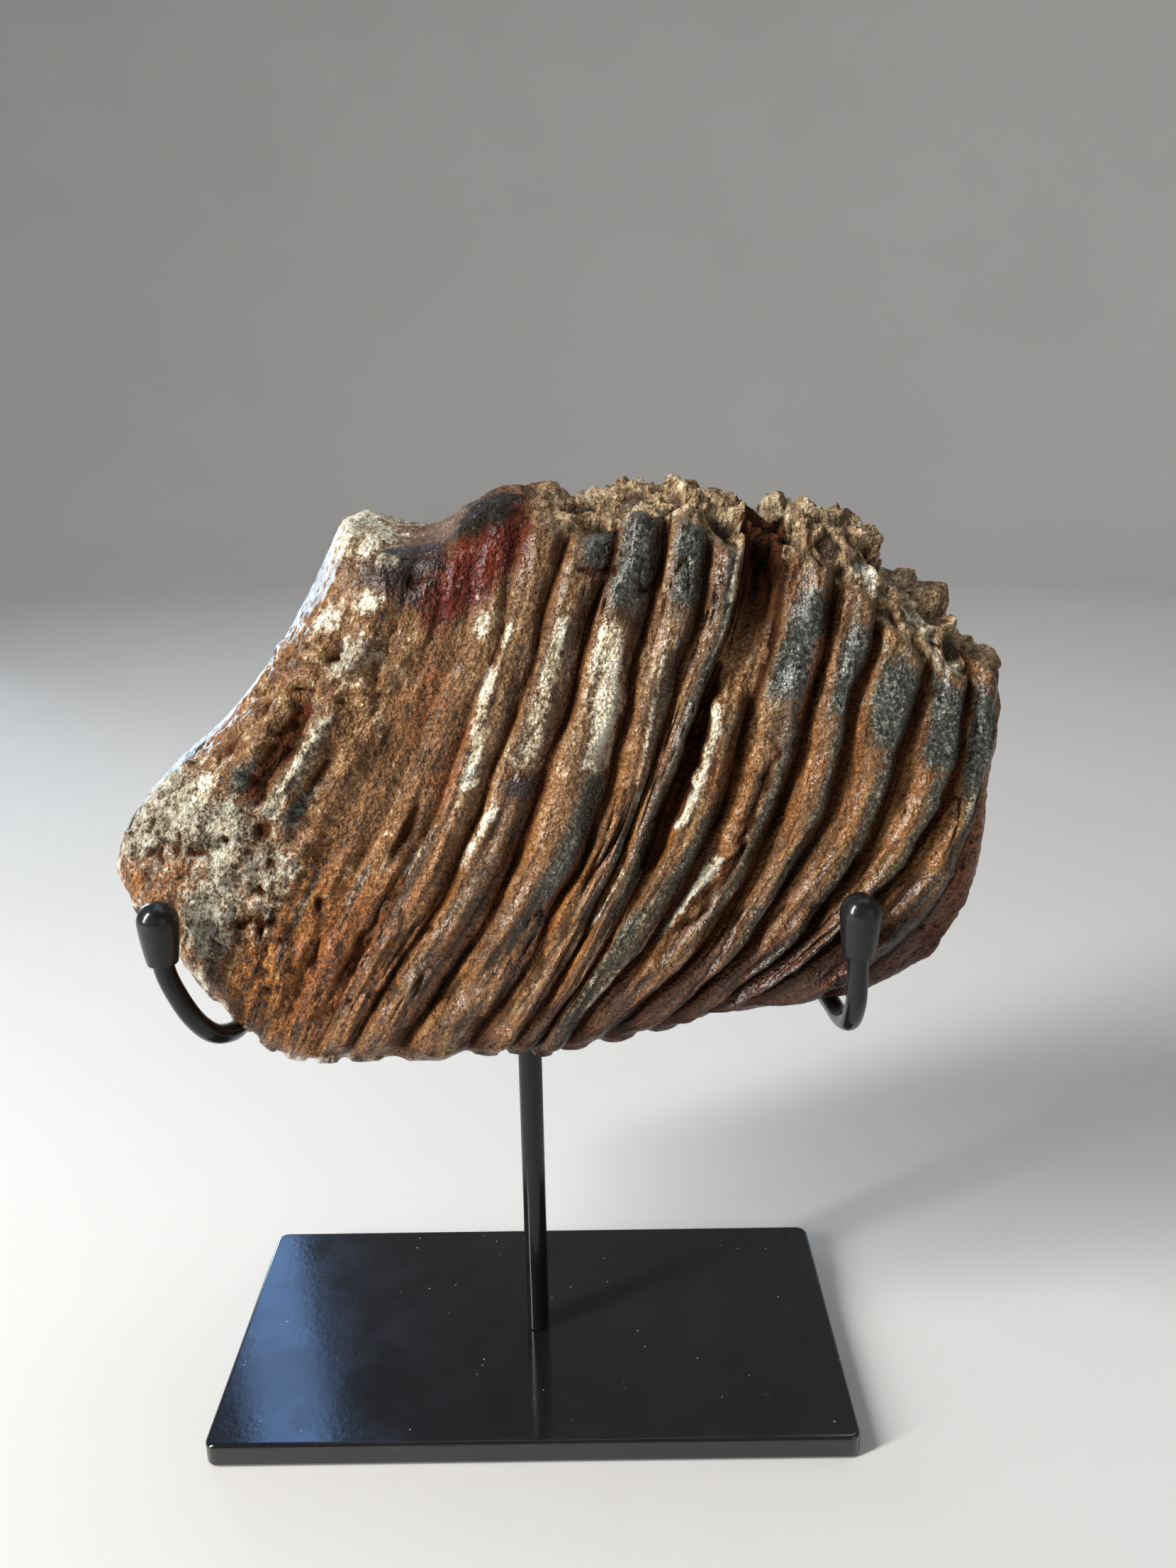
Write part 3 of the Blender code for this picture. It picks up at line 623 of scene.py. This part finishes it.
def stain_masks(grid, ring):
    """Masks of bare enamel and of each stain; behind the front face they are more broken up."""
    patchy = fade(noise_field(grid.run, *PATCHINESS), *PATCHY)
    shown = grid.front + (1.0 - grid.front) * patchy
    enamel = np.zeros(ring.shape)
    for centre, half_width, start, end, strength in ENAMEL:
        band = hump(grid.stack - centre, half_width, 4)
        band = band * fade(grid.down, start - BAND_FADE, start + BAND_FADE)
        band = band * fade(grid.down, end + BAND_FADE, end - BAND_FADE)
        enamel = np.maximum(enamel, strength * band)
    masks = {"enamel": enamel * shown * (1.0 - grid.chewed) + ring}
    for tint, patches in PATCHES.items():
        total = np.zeros(ring.shape)
        for *place, strength in patches:
            total += strength * spot_field(grid.stack, grid.down, *place)
        for start, end, half_width, strength in STREAKS.get(tint, []):
            off = line_field(grid.stack, grid.down, start, end)[1]
            total += strength * hump(off, half_width)
        masks[tint] = np.clip(total * shown, 0.0, MOST_TINT)
    return masks


def relief(grid):
    """How far the real surface stands out from the base surface, and the masks its colours follow."""
    split = splits(grid)
    strokes, spots = front_marks(grid)
    rough, scarred = rough_relief(grid)
    spongy, pores, sponge_height = sponge(grid)
    ring = enamel_rings(grid)
    faces = rib_relief(grid) - SPLIT_DEPTH * split + strokes + spots
    moved = faces * grid.on_faces + root_end_relief(grid) + sponge_height + scarred
    moved += noise_field(grid.points, *LUMPS) + noise_field(grid.points, *UNEVEN)
    moved *= grid.between_ends(TAPER, TAPER)
    moved += fade(grid.down, *GRAIN_HEIGHT) * noise_field(grid.points, *GRAINS)
    moved += RING_HEIGHT * ring

    masks = place_masks(grid)
    cracked = np.clip(-strokes / CRACK_DEPTH, 0.0, 1.0) + np.clip(-spots / CRACK_DEPTH, 0.0, 1.0)
    recess = rough * fade(-scarred, *RECESS)
    # Fissures, pits, splits and recesses join the valleys' painted shade.
    masks["valley"] += cracked + SPLIT_DARKNESS * split + RECESS_DARKNESS * recess
    masks["valley"] = np.clip(masks["valley"], 0.0, 1.0)
    masks["sponge"] = spongy
    masks["pore"] = spongy * pores
    masks["rough"] = np.maximum(rough, fade(grid.stack, *ROUGH_END))
    masks.update(stain_masks(grid, ring))
    return moved, masks


def held_inside(points, low, high):
    """The points pressed back into a box: the last part before a side is squeezed, not cut flat."""
    over = np.maximum(points - (high - SQUEEZED), 0.0)
    under = np.maximum((low + SQUEEZED) - points, 0.0)
    points = np.where(over > 0.0, high - SQUEEZED * np.exp(-over / SQUEEZED), points)
    return np.where(under > 0.0, low + SQUEEZED * np.exp(-under / SQUEEZED), points)


def close_ends(points, angles):
    """Joins the front half to the rear half along the edge where each end of the tooth runs out."""
    down = section_shape(angles)[0]
    rear = np.append(np.arange(FRONT_COLUMNS, len(angles)), 0)
    for column in range(1, FRONT_COLUMNS):
        partner = rear[np.argmin(np.abs(down[rear] - down[column]))]
        for row in (0, -1):
            points[row, column] = points[row, partner]


def grid_mesh(name, points):
    """A mesh with a face between every four neighbouring points, closed round each section."""
    rows, columns = points.shape[:2]
    index = np.arange(rows * columns).reshape(rows, columns)
    after = np.roll(index, -1, axis=1)
    faces = np.stack([index[:-1], after[:-1], after[1:], index[1:]], axis=2).reshape(-1, 4)
    data = bpy.data.meshes.new(name)
    data.from_pydata((points.reshape(-1, 3) * MM).tolist(), [], faces.tolist())
    return data


def clean_mesh(data):
    """Merges points that coincide, and turns all faces outward."""
    mesh = bmesh.new()
    mesh.from_mesh(data)
    bmesh.ops.remove_doubles(mesh, verts=mesh.verts, dist=MERGED * MM)
    bmesh.ops.dissolve_degenerate(mesh, edges=mesh.edges, dist=TOO_SHORT * MM)
    bmesh.ops.recalc_face_normals(mesh, faces=mesh.faces)
    mesh.to_mesh(data)
    mesh.free()
    data.shade_smooth()


def add_object(name, data):
    made = bpy.data.objects.new(name, data)
    bpy.context.scene.collection.objects.link(made)
    return made


def make_tooth():
    angles = section_angles()
    places = stack_places()
    grid = Grid(places, angles, base_surface(places, angles))
    moved, masks = relief(grid)
    points = grid.points + surface_normals(grid.points) * moved[:, :, None]
    low, high = (np.array(corner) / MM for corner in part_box("tooth"))
    points = held_inside(points, low, high)
    close_ends(points, angles)

    data = grid_mesh("tooth_surface", points)
    for name, values in masks.items():
        layer = data.attributes.new(name, "FLOAT", "POINT")
        layer.data.foreach_set("value", values.astype(np.float32).ravel())
    layer = data.attributes.new("run", "FLOAT_VECTOR", "POINT")
    layer.data.foreach_set("vector", (grid.run * MM).astype(np.float32).ravel())
    clean_mesh(data)
    made = add_object("tooth_surface", data)
    made.data.materials.append(fossil_material())
    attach(made, "root")
    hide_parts("tooth")


# --- Materials ---
class Shader:
    """One material's nodes, wired by short calls. Sizes are in metres."""

    def __init__(self, name):
        self.material = bpy.data.materials.new(name)
        self.material.use_nodes = True
        self.tree = self.material.node_tree
        self.surface = self.tree.nodes["Principled BSDF"]
        self.masks = {}
        self.place = self.node("ShaderNodeTexCoord", "Object", {})

    def feed(self, socket, value):
        """Links another socket or, by its name, a mask of the mesh; or sets a number or a colour."""
        if isinstance(value, str):
            if value not in self.masks:
                self.masks[value] = self.attribute(value)
            value = self.masks[value]
        if isinstance(value, bpy.types.NodeSocket):
            self.tree.links.new(value, socket)
        elif socket.type == "RGBA":
            socket.default_value = (*value, 1.0)
        else:
            socket.default_value = value

    def node(self, kind, output, inputs, **settings):
        """Makes a node, feeds its inputs and returns one of its outputs."""
        made = self.tree.nodes.new(kind)
        for name, value in settings.items():
            setattr(made, name, value)
        for name, value in inputs.items():
            self.feed(made.inputs[name], value)
        return made.outputs[output]

    def attribute(self, name, output="Fac"):
        return self.node("ShaderNodeAttribute", output, {}, attribute_name=name)

    def stretched(self, vector, scale):
        return self.node("ShaderNodeMapping", "Vector", {"Vector": vector, "Scale": scale})

    def warped(self, vector, size, amount):
        """The same place, shifted to and fro by a noise."""
        shift = self.noise(size, vector=vector, output="Color")
        inputs = {0: shift, 1: (amount, amount, amount), 2: vector}
        return self.node("ShaderNodeVectorMath", "Vector", inputs, operation="MULTIPLY_ADD")

    def noise(self, size, detail=2.0, roughness=0.5, vector=None, output="Fac"):
        inputs = {"Vector": vector or self.place, "Scale": 1.0 / size}
        inputs.update({"Detail": detail, "Roughness": roughness})
        return self.node("ShaderNodeTexNoise", output, inputs)

    def cells(self, size, vector=None, feature="F1"):
        inputs = {"Vector": vector or self.place, "Scale": 1.0 / size}
        return self.node("ShaderNodeTexVoronoi", "Distance", inputs, feature=feature)

    def rise(self, value, low, high, to_low=0.0, to_high=1.0):
        """Smoothly from to_low at low to to_high at high."""
        inputs = {"Value": value, "From Min": low, "From Max": high, "To Min": to_low, "To Max": to_high}
        return self.node("ShaderNodeMapRange", "Result", inputs, interpolation_type="SMOOTHSTEP")

    def math(self, operation, first, second):
        return self.node("ShaderNodeMath", 0, {0: first, 1: second}, operation=operation)

    def product(self, first, second):
        return self.math("MULTIPLY", first, second)

    def sum(self, *terms):
        """Adds (value, weight) pairs and plain numbers."""
        total = 0.0
        for term in terms:
            total = self.math("ADD", total, self.product(*term) if isinstance(term, tuple) else term)
        return total

    def ramp(self, value, stops):
        colour = self.node("ShaderNodeValToRGB", "Color", {"Fac": value})
        elements = colour.node.color_ramp.elements
        for number, (place, *shade) in enumerate(stops):
            element = elements[number] if number < 2 else elements.new(place)
            element.position = place
            element.color = (*shade, 1.0)
        return colour

    def mix(self, factor, first, second, blend="MIX"):
        inputs = {"Factor": factor, 6: first, 7: second}
        return self.node("ShaderNodeMix", 2, inputs, data_type="RGBA", blend_type=blend)

    def filtered(self, factor, colour, glass):
        """The colour, seen through coloured glass where the factor is 1."""
        return self.mix(factor, colour, self.mix(1.0, colour, glass, "MULTIPLY"))

    def bump(self, height, distance, normal=None, strength=1.0):
        inputs = {"Height": height, "Distance": distance, "Strength": strength}
        if normal is not None:
            inputs["Normal"] = normal
        return self.node("ShaderNodeBump", "Normal", inputs)

    def set(self, name, value):
        self.feed(self.surface.inputs[name], value)

    def set_gloss(self, specular, coat, coat_roughness):
        self.set("Specular IOR Level", specular)
        self.set("Coat Weight", coat)
        self.set("Coat Roughness", coat_roughness)


# Colours of the fossil by tone: the tone, red, green and blue.
BROWN = [
    (0.3, 0.02, 0.008, 0.003), (0.41, 0.12, 0.054, 0.018), (0.5, 0.18, 0.08, 0.025),
    (0.58, 0.3, 0.162, 0.066), (0.7, 0.62, 0.5, 0.32),
]
ORANGE = [
    (0.32, 0.01, 0.006, 0.003), (0.41, 0.105, 0.043, 0.011), (0.49, 0.195, 0.064, 0.01),
    (0.59, 0.36, 0.138, 0.022), (0.74, 0.54, 0.34, 0.13),
]
BLUE_GREY = [
    (0.32, 0.006, 0.006, 0.005), (0.46, 0.029, 0.032, 0.027), (0.58, 0.084, 0.094, 0.08),
    (0.76, 0.32, 0.3, 0.21),
]
SPONGE = [
    (0.34, 0.06, 0.032, 0.014), (0.44, 0.21, 0.125, 0.058), (0.54, 0.42, 0.29, 0.155),
    (0.68, 0.68, 0.57, 0.38),
]
PALE_AND_GLINT = [
    (0.35, 0.03, 0.02, 0.01), (0.43, 0.12, 0.095, 0.062), (0.5, 0.33, 0.275, 0.19),
    (0.58, 0.44, 0.42, 0.33), (0.72, 0.7, 0.68, 0.59),
]
# Cream colour, and the painted highlights along the crests.
CREAM_AND_HIGHLIGHT = [
    (0.34, 0.12, 0.065, 0.026), (0.43, 0.45, 0.345, 0.2), (0.53, 0.8, 0.74, 0.56),
    (0.68, 0.92, 0.9, 0.8),
]
# Painted light: the brighter orange of the ribs' lit left flanks.
LIT_FLANK_PAINT = (0.21, 0.085, 0.019)
VEIL = ((0.085, 0.056, 0.022), (0.3, 0.215, 0.105))
# Painted shade of the valleys and hollows, partly dark stain.
DEEP_STAIN_AND_SHADE = ((0.012, 0.005, 0.002), (0.08, 0.028, 0.01))
# Painted shade at the bottom of the pores.
PORE = (0.03, 0.014, 0.006)
STAINS = (
    ("purple", (0.008, 0.003, 0.002), (0.046, 0.017, 0.01)),
    ("red", (0.04, 0.004, 0.0015), (0.15, 0.02, 0.005)),
    ("grey", (0.006, 0.004, 0.0025), (0.026, 0.017, 0.01)),
    ("rust", (0.09, 0.022, 0.005), (0.36, 0.12, 0.028)),
)
OLIVE_GLASS = (1.1, 0.82, 0.46)
CRACK_GLASS = (0.4, 0.32, 0.27)
SHADED_GLASS = (0.42, 0.34, 0.28)
# Painted shade for the ribs' right sides.
LOW_GLASS = (0.26, 0.15, 0.08)
# Stretches of the run: short across a plate, long down it.
STRAND_STRETCH = (1.0, 0.12, 0.3)
THREAD_STRETCH = (1.0, 0.08, 0.25)
VEIL_STRETCH = (1.0, 0.35, 1.0)
CRACK_STRETCH = (1.0, 0.7, 1.0)


class Fossil(Shader):
    """Varnished fossil: brown cement and dentine between plates, blue-grey enamel on the crests."""

    def __init__(self):
        super().__init__("fossil_surface")
        self.run = self.attribute("run", "Vector")
        self.grain = self.noise(1.2 * MM, 3.0, 0.62)
        self.granules = self.sum((self.cells(0.9 * MM), -1.0), 1.0)
        self.fine = self.noise(0.45 * MM, 2.0, 0.6)
        self.blotches = self.noise(6 * MM, 4.0, 0.6)
        self.strand = self.noise(2.6 * MM, 4.0, 0.62, self.stretched(self.run, STRAND_STRETCH))
        thread = self.noise(1.1 * MM, 2.0, 0.5, self.stretched(self.run, THREAD_STRETCH))
        self.thread = self.product(self.sum((thread, 1.0), -0.5), self.rise("low", -0.1, 0.5))
        self.streaky = self.rise("rough", 0.0, 1.0, 1.0, 0.35)
        self.tone = self.make_tone()
        self.hidden = self.make_hidden()

    def make_tone(self):
        """Light and dark from all grains together; rough parts have crumbs and fewer streaks."""
        streaks = self.product(self.sum((self.strand, 0.66), -0.33), self.streaky)
        crumbs = self.product(self.sum((self.noise(2.8 * MM, 3.0, 0.65), 1.0), -0.5), "rough")
        tone = self.sum((self.grain, 0.56), (self.fine, 0.3), (self.blotches, 0.36), (streaks, 1.0),
                        (self.thread, 0.9), -0.11)
        return self.sum((tone, 1.0), (crumbs, 0.5))

    def make_hidden(self):
        """How deep in a valley, a crack, a pit or a recess: where the painted shade of the hollows goes,
        partly dark stain.
        """
        depth = self.sum(("valley", 1.0), (self.strand, 0.7), (self.grain, 0.5), -0.6)
        return self.rise(depth, 0.2, 0.8)

    def edge(self, mask, high_end=0.8, flecks=0.0):
        """A mask with a ragged, streaky, speckled edge; flecks of it may lie beyond."""
        ragged = self.sum((mask, 1.0), (self.strand, 1.3), (self.blotches, 0.9), (self.grain, 1.3), -1.75)
        return self.product(self.rise(ragged, 0.2, high_end), self.rise(mask, 0.02, 0.25, flecks, 1.0))

    def cement(self):
        """Brown, more orange towards the chewing face, with painted light on the ribs' left flanks: a
        brighter orange where the light falls.
        """
        broad = self.noise(26 * MM, 2.0, 0.5)
        warmth = self.rise(self.sum(("warm", 1.0), (broad, 0.9), -0.45), 0.15, 0.8)
        colour = self.mix(warmth, self.ramp(self.tone, BROWN), self.ramp(self.tone, ORANGE))
        lit_flank = self.rise(self.sum(("lit_flank", 1.0), (self.strand, 0.8), -0.4), 0.2, 0.9)
        colour = self.mix(self.product(lit_flank, warmth), colour, self.mix(0.5, colour, LIT_FLANK_PAINT))

        veil_there = self.noise(4.5 * MM, 4.0, 0.65, self.stretched(self.run, VEIL_STRETCH))
        veil_there = self.sum((veil_there, 1.0), ("crest", 0.25), (self.grain, 0.5), -0.5)
        veil = self.mix(self.rise(self.tone, 0.38, 0.62), *VEIL)
        return self.mix(self.rise(veil_there, 0.34, 0.66, 0.0, 0.48), colour, veil)

    def with_enamel(self, colour, there):
        tone = self.sum(
            (self.granules, 0.3), (self.grain, 0.8), (self.strand, 0.35), (self.fine, 0.3), -0.38)
        olive = self.rise("low", 0.05, 0.5)
        return self.mix(there, colour, self.filtered(olive, self.ramp(tone, BLUE_GREY), OLIVE_GLASS))

    def with_sponge(self, colour):
        # Painted shade in the pores.
        pore = self.sum(("pore", 1.0), (self.grain, 0.5), -0.25)
        sponge_colour = self.mix(self.rise(pore, 0.5, 1.15), self.ramp(self.tone, SPONGE), PORE)
        return self.mix(self.rise("sponge", 0.2, 0.7), colour, sponge_colour)

    def with_stains_and_highlights(self, colour):
        for name, dark, light in STAINS:
            stain = self.mix(self.rise(self.grain, 0.3, 0.7), dark, light)
            colour = self.mix(self.edge(name), colour, stain)
        colour = self.mix(self.edge("pale_and_glint", flecks=0.4), colour, self.ramp(self.tone, PALE_AND_GLINT))
        # The cream mask is cream colour and, along the crests, painted highlights.
        cream_and_highlight = self.edge("cream_and_highlight", flecks=0.6)
        return self.mix(cream_and_highlight, colour, self.ramp(self.tone, CREAM_AND_HIGHLIGHT))

    def cracks(self):
        """A faint net of fine cracks, in patches."""
        bent = self.warped(self.stretched(self.run, CRACK_STRETCH), 2.2 * MM, 3.0 * MM)
        net = self.rise(self.cells(2.3 * MM, bent, "DISTANCE_TO_EDGE"), 0.0, 0.07, 1.0, 0.0)
        return self.product(net, self.rise(self.sum(("crest", 0.25), (self.blotches, 1.0)), 0.55, 0.9))

    def with_shade(self, colour, crack):
        """Darker cracks; painted shade in the valleys (partly dark stain) and on the ribs' right sides,
        away from the light; darker towards the lower right.
        """
        colour = self.filtered(crack, colour, CRACK_GLASS)
        # Painted shade in the valleys, cracks and pits, partly dark stain.
        colour = self.mix(self.hidden, colour, self.mix(self.rise(self.strand, 0.35, 0.6), *DEEP_STAIN_AND_SHADE))
        shaded = self.sum(("shaded", 1.0), (self.blotches, 0.6), (self.grain, 0.4), -0.5)
        colour = self.filtered(self.rise(shaded, 0.2, 0.9), colour, SHADED_GLASS)
        return self.filtered(self.rise("low", 0.4, 1.0), colour, LOW_GLASS)

    def varnish(self, enamel):
        """Glossy crests and enamel; duller valleys, stains and pale parts."""
        dull = self.rise(self.sum((self.grain, 0.5), (self.blotches, 0.5)), 0.35, 0.65, 0.22, 0.44)
        dull = self.sum((dull, 1.0), (enamel, -0.12), ("sponge", 0.15))
        self.set("Roughness", self.sum((dull, 1.0), ("grey", 0.25), ("pale_and_glint", 0.12)))
        stained = self.sum(("grey", 1.0), ("red", 0.6))
        polish = self.rise(stained, 0.0, 1.0, 1.0, 0.4)
        specular = self.product(self.rise(self.hidden, 0.0, 1.0, 0.24, 0.05), polish)
        coat = self.sum(("crest", 0.5), ("purple", 0.1), 0.1)
        coat = self.sum((coat, 1.0), ("grey", -0.25), ("pale_and_glint", -0.1))
        self.set_gloss(specular, self.product(coat, self.rise(self.hidden, 0.0, 1.0, 1.0, 0.0)), 0.15)

    def set_bumps(self, crack):
        """Crust, cracks, granules, strands and grain; the varnish fills the finest of them."""
        there = self.rise("rim", 0.2, 0.9, 1.0, 0.4)
        crust = self.noise(2.2 * MM, 4.0, 0.65)
        normal = None
        for height, distance, strength in (
            (crust, 1.1 * MM, there),
            (crack, -0.2 * MM, there),
            (self.granules, 0.6 * MM, there),
            (self.strand, 0.9 * MM, self.streaky),
            (self.thread, 0.6 * MM, self.streaky),
            (self.grain, 0.9 * MM, there),
            (self.fine, 0.15 * MM, there),
        ):
            normal = self.bump(height, distance, normal, strength)
        self.set("Normal", normal)
        filled = self.bump(crust, 0.38 * MM)
        filled = self.bump(self.granules, 0.1 * MM, filled)
        self.set("Coat Normal", self.bump(self.grain, 0.2 * MM, filled))


def fossil_material():
    fossil = Fossil()
    enamel = fossil.edge("enamel", high_end=0.95)
    crack = fossil.cracks()
    colour = fossil.with_enamel(fossil.cement(), enamel)
    colour = fossil.with_stains_and_highlights(fossil.with_sponge(colour))
    fossil.set("Base Color", fossil.with_shade(colour, crack))
    fossil.varnish(enamel)
    fossil.set_bumps(crack)
    return fossil.material


def black_gloss_material(name, roughness, dust):
    """Black lacquer or paint, with faint orange peel, smears and, where dust is set, tiny specks."""
    shader = Shader(name)
    smears = shader.noise(14 * MM, 3.0, 0.55)
    peel = shader.noise(1.4 * MM, 2.0)
    colour = shader.mix(smears, (0.0045, 0.0045, 0.006), (0.011, 0.011, 0.013))
    if dust:
        speck = shader.rise(shader.cells(3.2 * MM), 0.05, 0.08, 1.0, 0.0)
        scattered = shader.rise(shader.noise(9 * MM, 2.0), 0.54, 0.6)
        colour = shader.mix(shader.product(speck, scattered), colour, (0.34, 0.35, 0.35))
    shader.set("Base Color", colour)
    shader.set("Roughness", shader.rise(smears, 0.3, 0.7, roughness, roughness + 0.09))
    shader.set_gloss(*(0.5, 0.5, 0.09) if dust else (0.22, 0.25, 0.06))
    shader.set("Normal", shader.bump(peel, 0.02 * MM if dust else 0.01 * MM))
    return shader.material


def sleeve_material():
    """Dipped black rubber: glossy, slightly wavy, with a faint sheen."""
    shader = Shader("sleeve_rubber_surface")
    waves = shader.noise(3.5 * MM, 2.0)
    grain = shader.noise(0.4 * MM, 2.0)
    shader.set("Base Color", shader.mix(waves, (0.006, 0.006, 0.008), (0.016, 0.016, 0.018)))
    shader.set("Roughness", shader.rise(waves, 0.3, 0.7, 0.2, 0.32))
    shader.set_gloss(0.22, 0.25, 0.12)
    shader.set("Normal", shader.bump(grain, 0.012 * MM, shader.bump(waves, 0.1 * MM)))
    return shader.material


def floor_material():
    """Pale matte paper with the slightest unevenness."""
    shader = Shader("pale_floor")
    clouds = shader.noise(0.25, 3.0)
    shader.set("Base Color", shader.mix(clouds, (0.6, 0.595, 0.585), (0.66, 0.655, 0.645)))
    shader.set("Roughness", 0.85)
    return shader.material


# --- Stand ---
def finish_piece(made, node, material):
    """Gives a stand piece its material, and lets it stand for a CAD node."""
    made.data.materials.append(material)
    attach(made, "root")
    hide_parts(node)


def modify(made, name, kind, **settings):
    """Adds a modifier with its settings."""
    modifier = made.modifiers.new(name, kind)
    for setting, value in settings.items():
        setattr(modifier, setting, value)


def make_plate(material):
    low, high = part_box("base_plate")
    mesh = bmesh.new()
    shape = Matrix.Translation((low + high) / 2) @ Matrix.Diagonal((*(high - low), 1.0))
    bmesh.ops.create_cube(mesh, size=1.0, matrix=shape)
    uprights = [edge for edge in mesh.edges if abs(edge.verts[0].co.z - edge.verts[1].co.z) > GAP]
    bmesh.ops.bevel(mesh, geom=uprights, offset=PLATE_CORNER, segments=10, profile=0.5, affect="EDGES")
    data = bpy.data.meshes.new("plate")
    mesh.to_mesh(data)
    mesh.free()
    made = add_object("plate", data)
    limit = {"limit_method": "ANGLE", "angle_limit": math.radians(40)}
    modify(made, "edges", "BEVEL", width=PLATE_EDGE, segments=5, harden_normals=True, **limit)
    data.shade_smooth()
    finish_piece(made, "base_plate", material)


def turned(name, profile, place, sides):
    """A round piece from a profile of (radius, height) points, from the top down the outside."""
    data = bpy.data.meshes.new(name)
    edges = [(index, index + 1) for index in range(len(profile) - 1)]
    data.from_pydata([(across, 0.0, height) for across, height in profile], edges, [])
    made = add_object(name, data)
    made.location = place
    merging = {"use_merge_vertices": True, "merge_threshold": MERGED * MM}
    modify(made, "turned", "SCREW", steps=sides, render_steps=sides, use_smooth_shade=True, **merging)
    return made


def arc(centre, radius, start, end, count):
    """Points of an arc in a turned profile, angles in degrees from the +radius direction."""
    angles = np.radians(np.linspace(start, end, count))
    return [(centre[0] + radius * math.cos(a), centre[1] + radius * math.sin(a)) for a in angles]


def make_post(material):
    """The rod from the plate's top up to the cross bar."""
    low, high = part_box("post")
    radius = (high.x - low.x) / 2
    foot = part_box("base_plate")[1].z - low.z
    height = high.z - low.z
    profile = [(0.0, height)]
    profile += arc((radius - POST_EDGE, height - POST_EDGE), POST_EDGE, 90, 0, 5)
    profile += [(radius, foot + POST_EDGE), (radius, foot), (0.0, foot)]
    made = turned("post_rod", profile, (0.0, 0.0, low.z), 48)
    finish_piece(made, "post", material)


def make_rod(name, node, route, material):
    route = np.array(route, float)
    spans = np.linalg.norm(np.diff(route, axis=0), axis=1)
    travelled = np.concatenate([[0.0], np.cumsum(spans)])
    samples = np.linspace(0.0, travelled[-1], ROD_SAMPLES_PER_POINT * len(route))
    middle_line = smooth_through(travelled, route, samples) * MM
    data = bpy.data.curves.new(name, "CURVE")
    data.dimensions = "3D"
    data.bevel_depth = ROD_RADIUS
    data.bevel_resolution = 6
    data.use_fill_caps = True
    spline = data.splines.new("POLY")
    spline.points.add(len(middle_line) - 1)
    for point, place in zip(spline.points, middle_line):
        point.co = (*place, 1.0)
    spline.use_smooth = True
    finish_piece(add_object(name, data), node, material)


def make_sleeve(node, tip, material):
    """A dipped cap: a full dome, a slim mouth with a soft edge, and the bore that holds the rod."""
    profile = arc((0.0, -SLEEVE_TIP_RADIUS), SLEEVE_TIP_RADIUS, 90, 0, 12)
    profile[0] = (0.0, 0.0)
    side = SLEEVE_LENGTH - SLEEVE_TIP_RADIUS - SLEEVE_EDGE
    for share in np.linspace(0.1, 1.0, 10):
        radius = SLEEVE_TIP_RADIUS + (SLEEVE_MOUTH_RADIUS - SLEEVE_TIP_RADIUS) * share ** SLEEVE_TAPER
        profile.append((radius, -SLEEVE_TIP_RADIUS - share * side))
    mouth = (SLEEVE_MOUTH_RADIUS - SLEEVE_EDGE, -SLEEVE_LENGTH + SLEEVE_EDGE)
    profile += arc(mouth, SLEEVE_EDGE, 0, -90, 4)[1:]
    profile += [(SLEEVE_BORE, -SLEEVE_LENGTH), (SLEEVE_BORE, -SLEEVE_WALL_AT_TIP)]
    profile += [(0.0, -SLEEVE_WALL_AT_TIP)]
    place = (tip[0] * MM, tip[1] * MM, tip[2] * MM + SLEEVE_WALL_AT_TIP + GAP)
    made = turned(node + "_cap", profile, place, 40)
    finish_piece(made, node, material)


def make_stand():
    paint = black_gloss_material("rod_paint_surface", 0.16, dust=False)
    make_plate(black_gloss_material("plate_lacquer_surface", 0.09, dust=True))
    make_post(paint)
    make_rod("cross_rod", "cross_bar", BAR, paint)
    rubber = sleeve_material()
    for side, front_half in (("left", LEFT_CRADLE), ("right", RIGHT_CRADLE)):
        rear_half = [(x, -y, z) for x, y, z in reversed(front_half[:-1])]
        make_rod(f"{side}_rod", f"{side}_cradle_rod", front_half + rear_half, paint)
        make_sleeve(f"{side}_front_sleeve", front_half[0], rubber)
        make_sleeve(f"{side}_rear_sleeve", rear_half[-1], rubber)


# --- Stage, lights and camera ---
def make_floor():
    """A flat floor that turns up into a round backdrop, so that it is pale all round."""
    profile = [(0.0, 0.0), (FLOOR_RADIUS, 0.0)]
    profile += arc((FLOOR_RADIUS, BACKDROP_BEND), BACKDROP_BEND, -80, 0, 10)
    profile += [(FLOOR_RADIUS + BACKDROP_BEND, BACKDROP_HEIGHT)]
    made = turned("floor", profile, (0.0, 0.0, -FLOOR_SINK), 96)
    made.data.materials.append(floor_material())


def make_lights():
    for name, place, target, width, height, power, colour, spread in LIGHTS:
        data = bpy.data.lights.new(name, "AREA")
        data.shape = "RECTANGLE"
        data.size = width
        data.size_y = height
        data.energy = power
        data.color = colour
        data.spread = math.radians(spread)
        made = add_object(name, data)
        made.location = place
        made.rotation_euler = (Vector(target) - Vector(place)).to_track_quat("-Z", "Y").to_euler()
    world = bpy.data.worlds.new("studio")
    world.use_nodes = True
    world.node_tree.nodes["Background"].inputs["Color"].default_value = WORLD_COLOUR
    world.node_tree.nodes["Background"].inputs["Strength"].default_value = WORLD_STRENGTH
    bpy.context.scene.world = world


def make_camera():
    turn = Matrix.Rotation(-CAMERA_YAW, 4, "Z")
    turn = turn @ Matrix.Rotation(math.pi / 2 - CAMERA_PITCH, 4, "X")
    turn = turn @ Matrix.Rotation(-CAMERA_ROLL, 4, "Z")
    data = bpy.data.cameras.new("camera")
    data.lens = CAMERA_LENS
    data.clip_start = 0.01
    made = add_object("camera", data)
    made.matrix_world = Matrix.Translation(CAMERA_PLACE) @ turn
    bpy.context.scene.camera = made


make_tooth()
make_stand()
make_floor()
make_lights()
make_camera()
bpy.context.scene.view_settings.view_transform = "Standard"
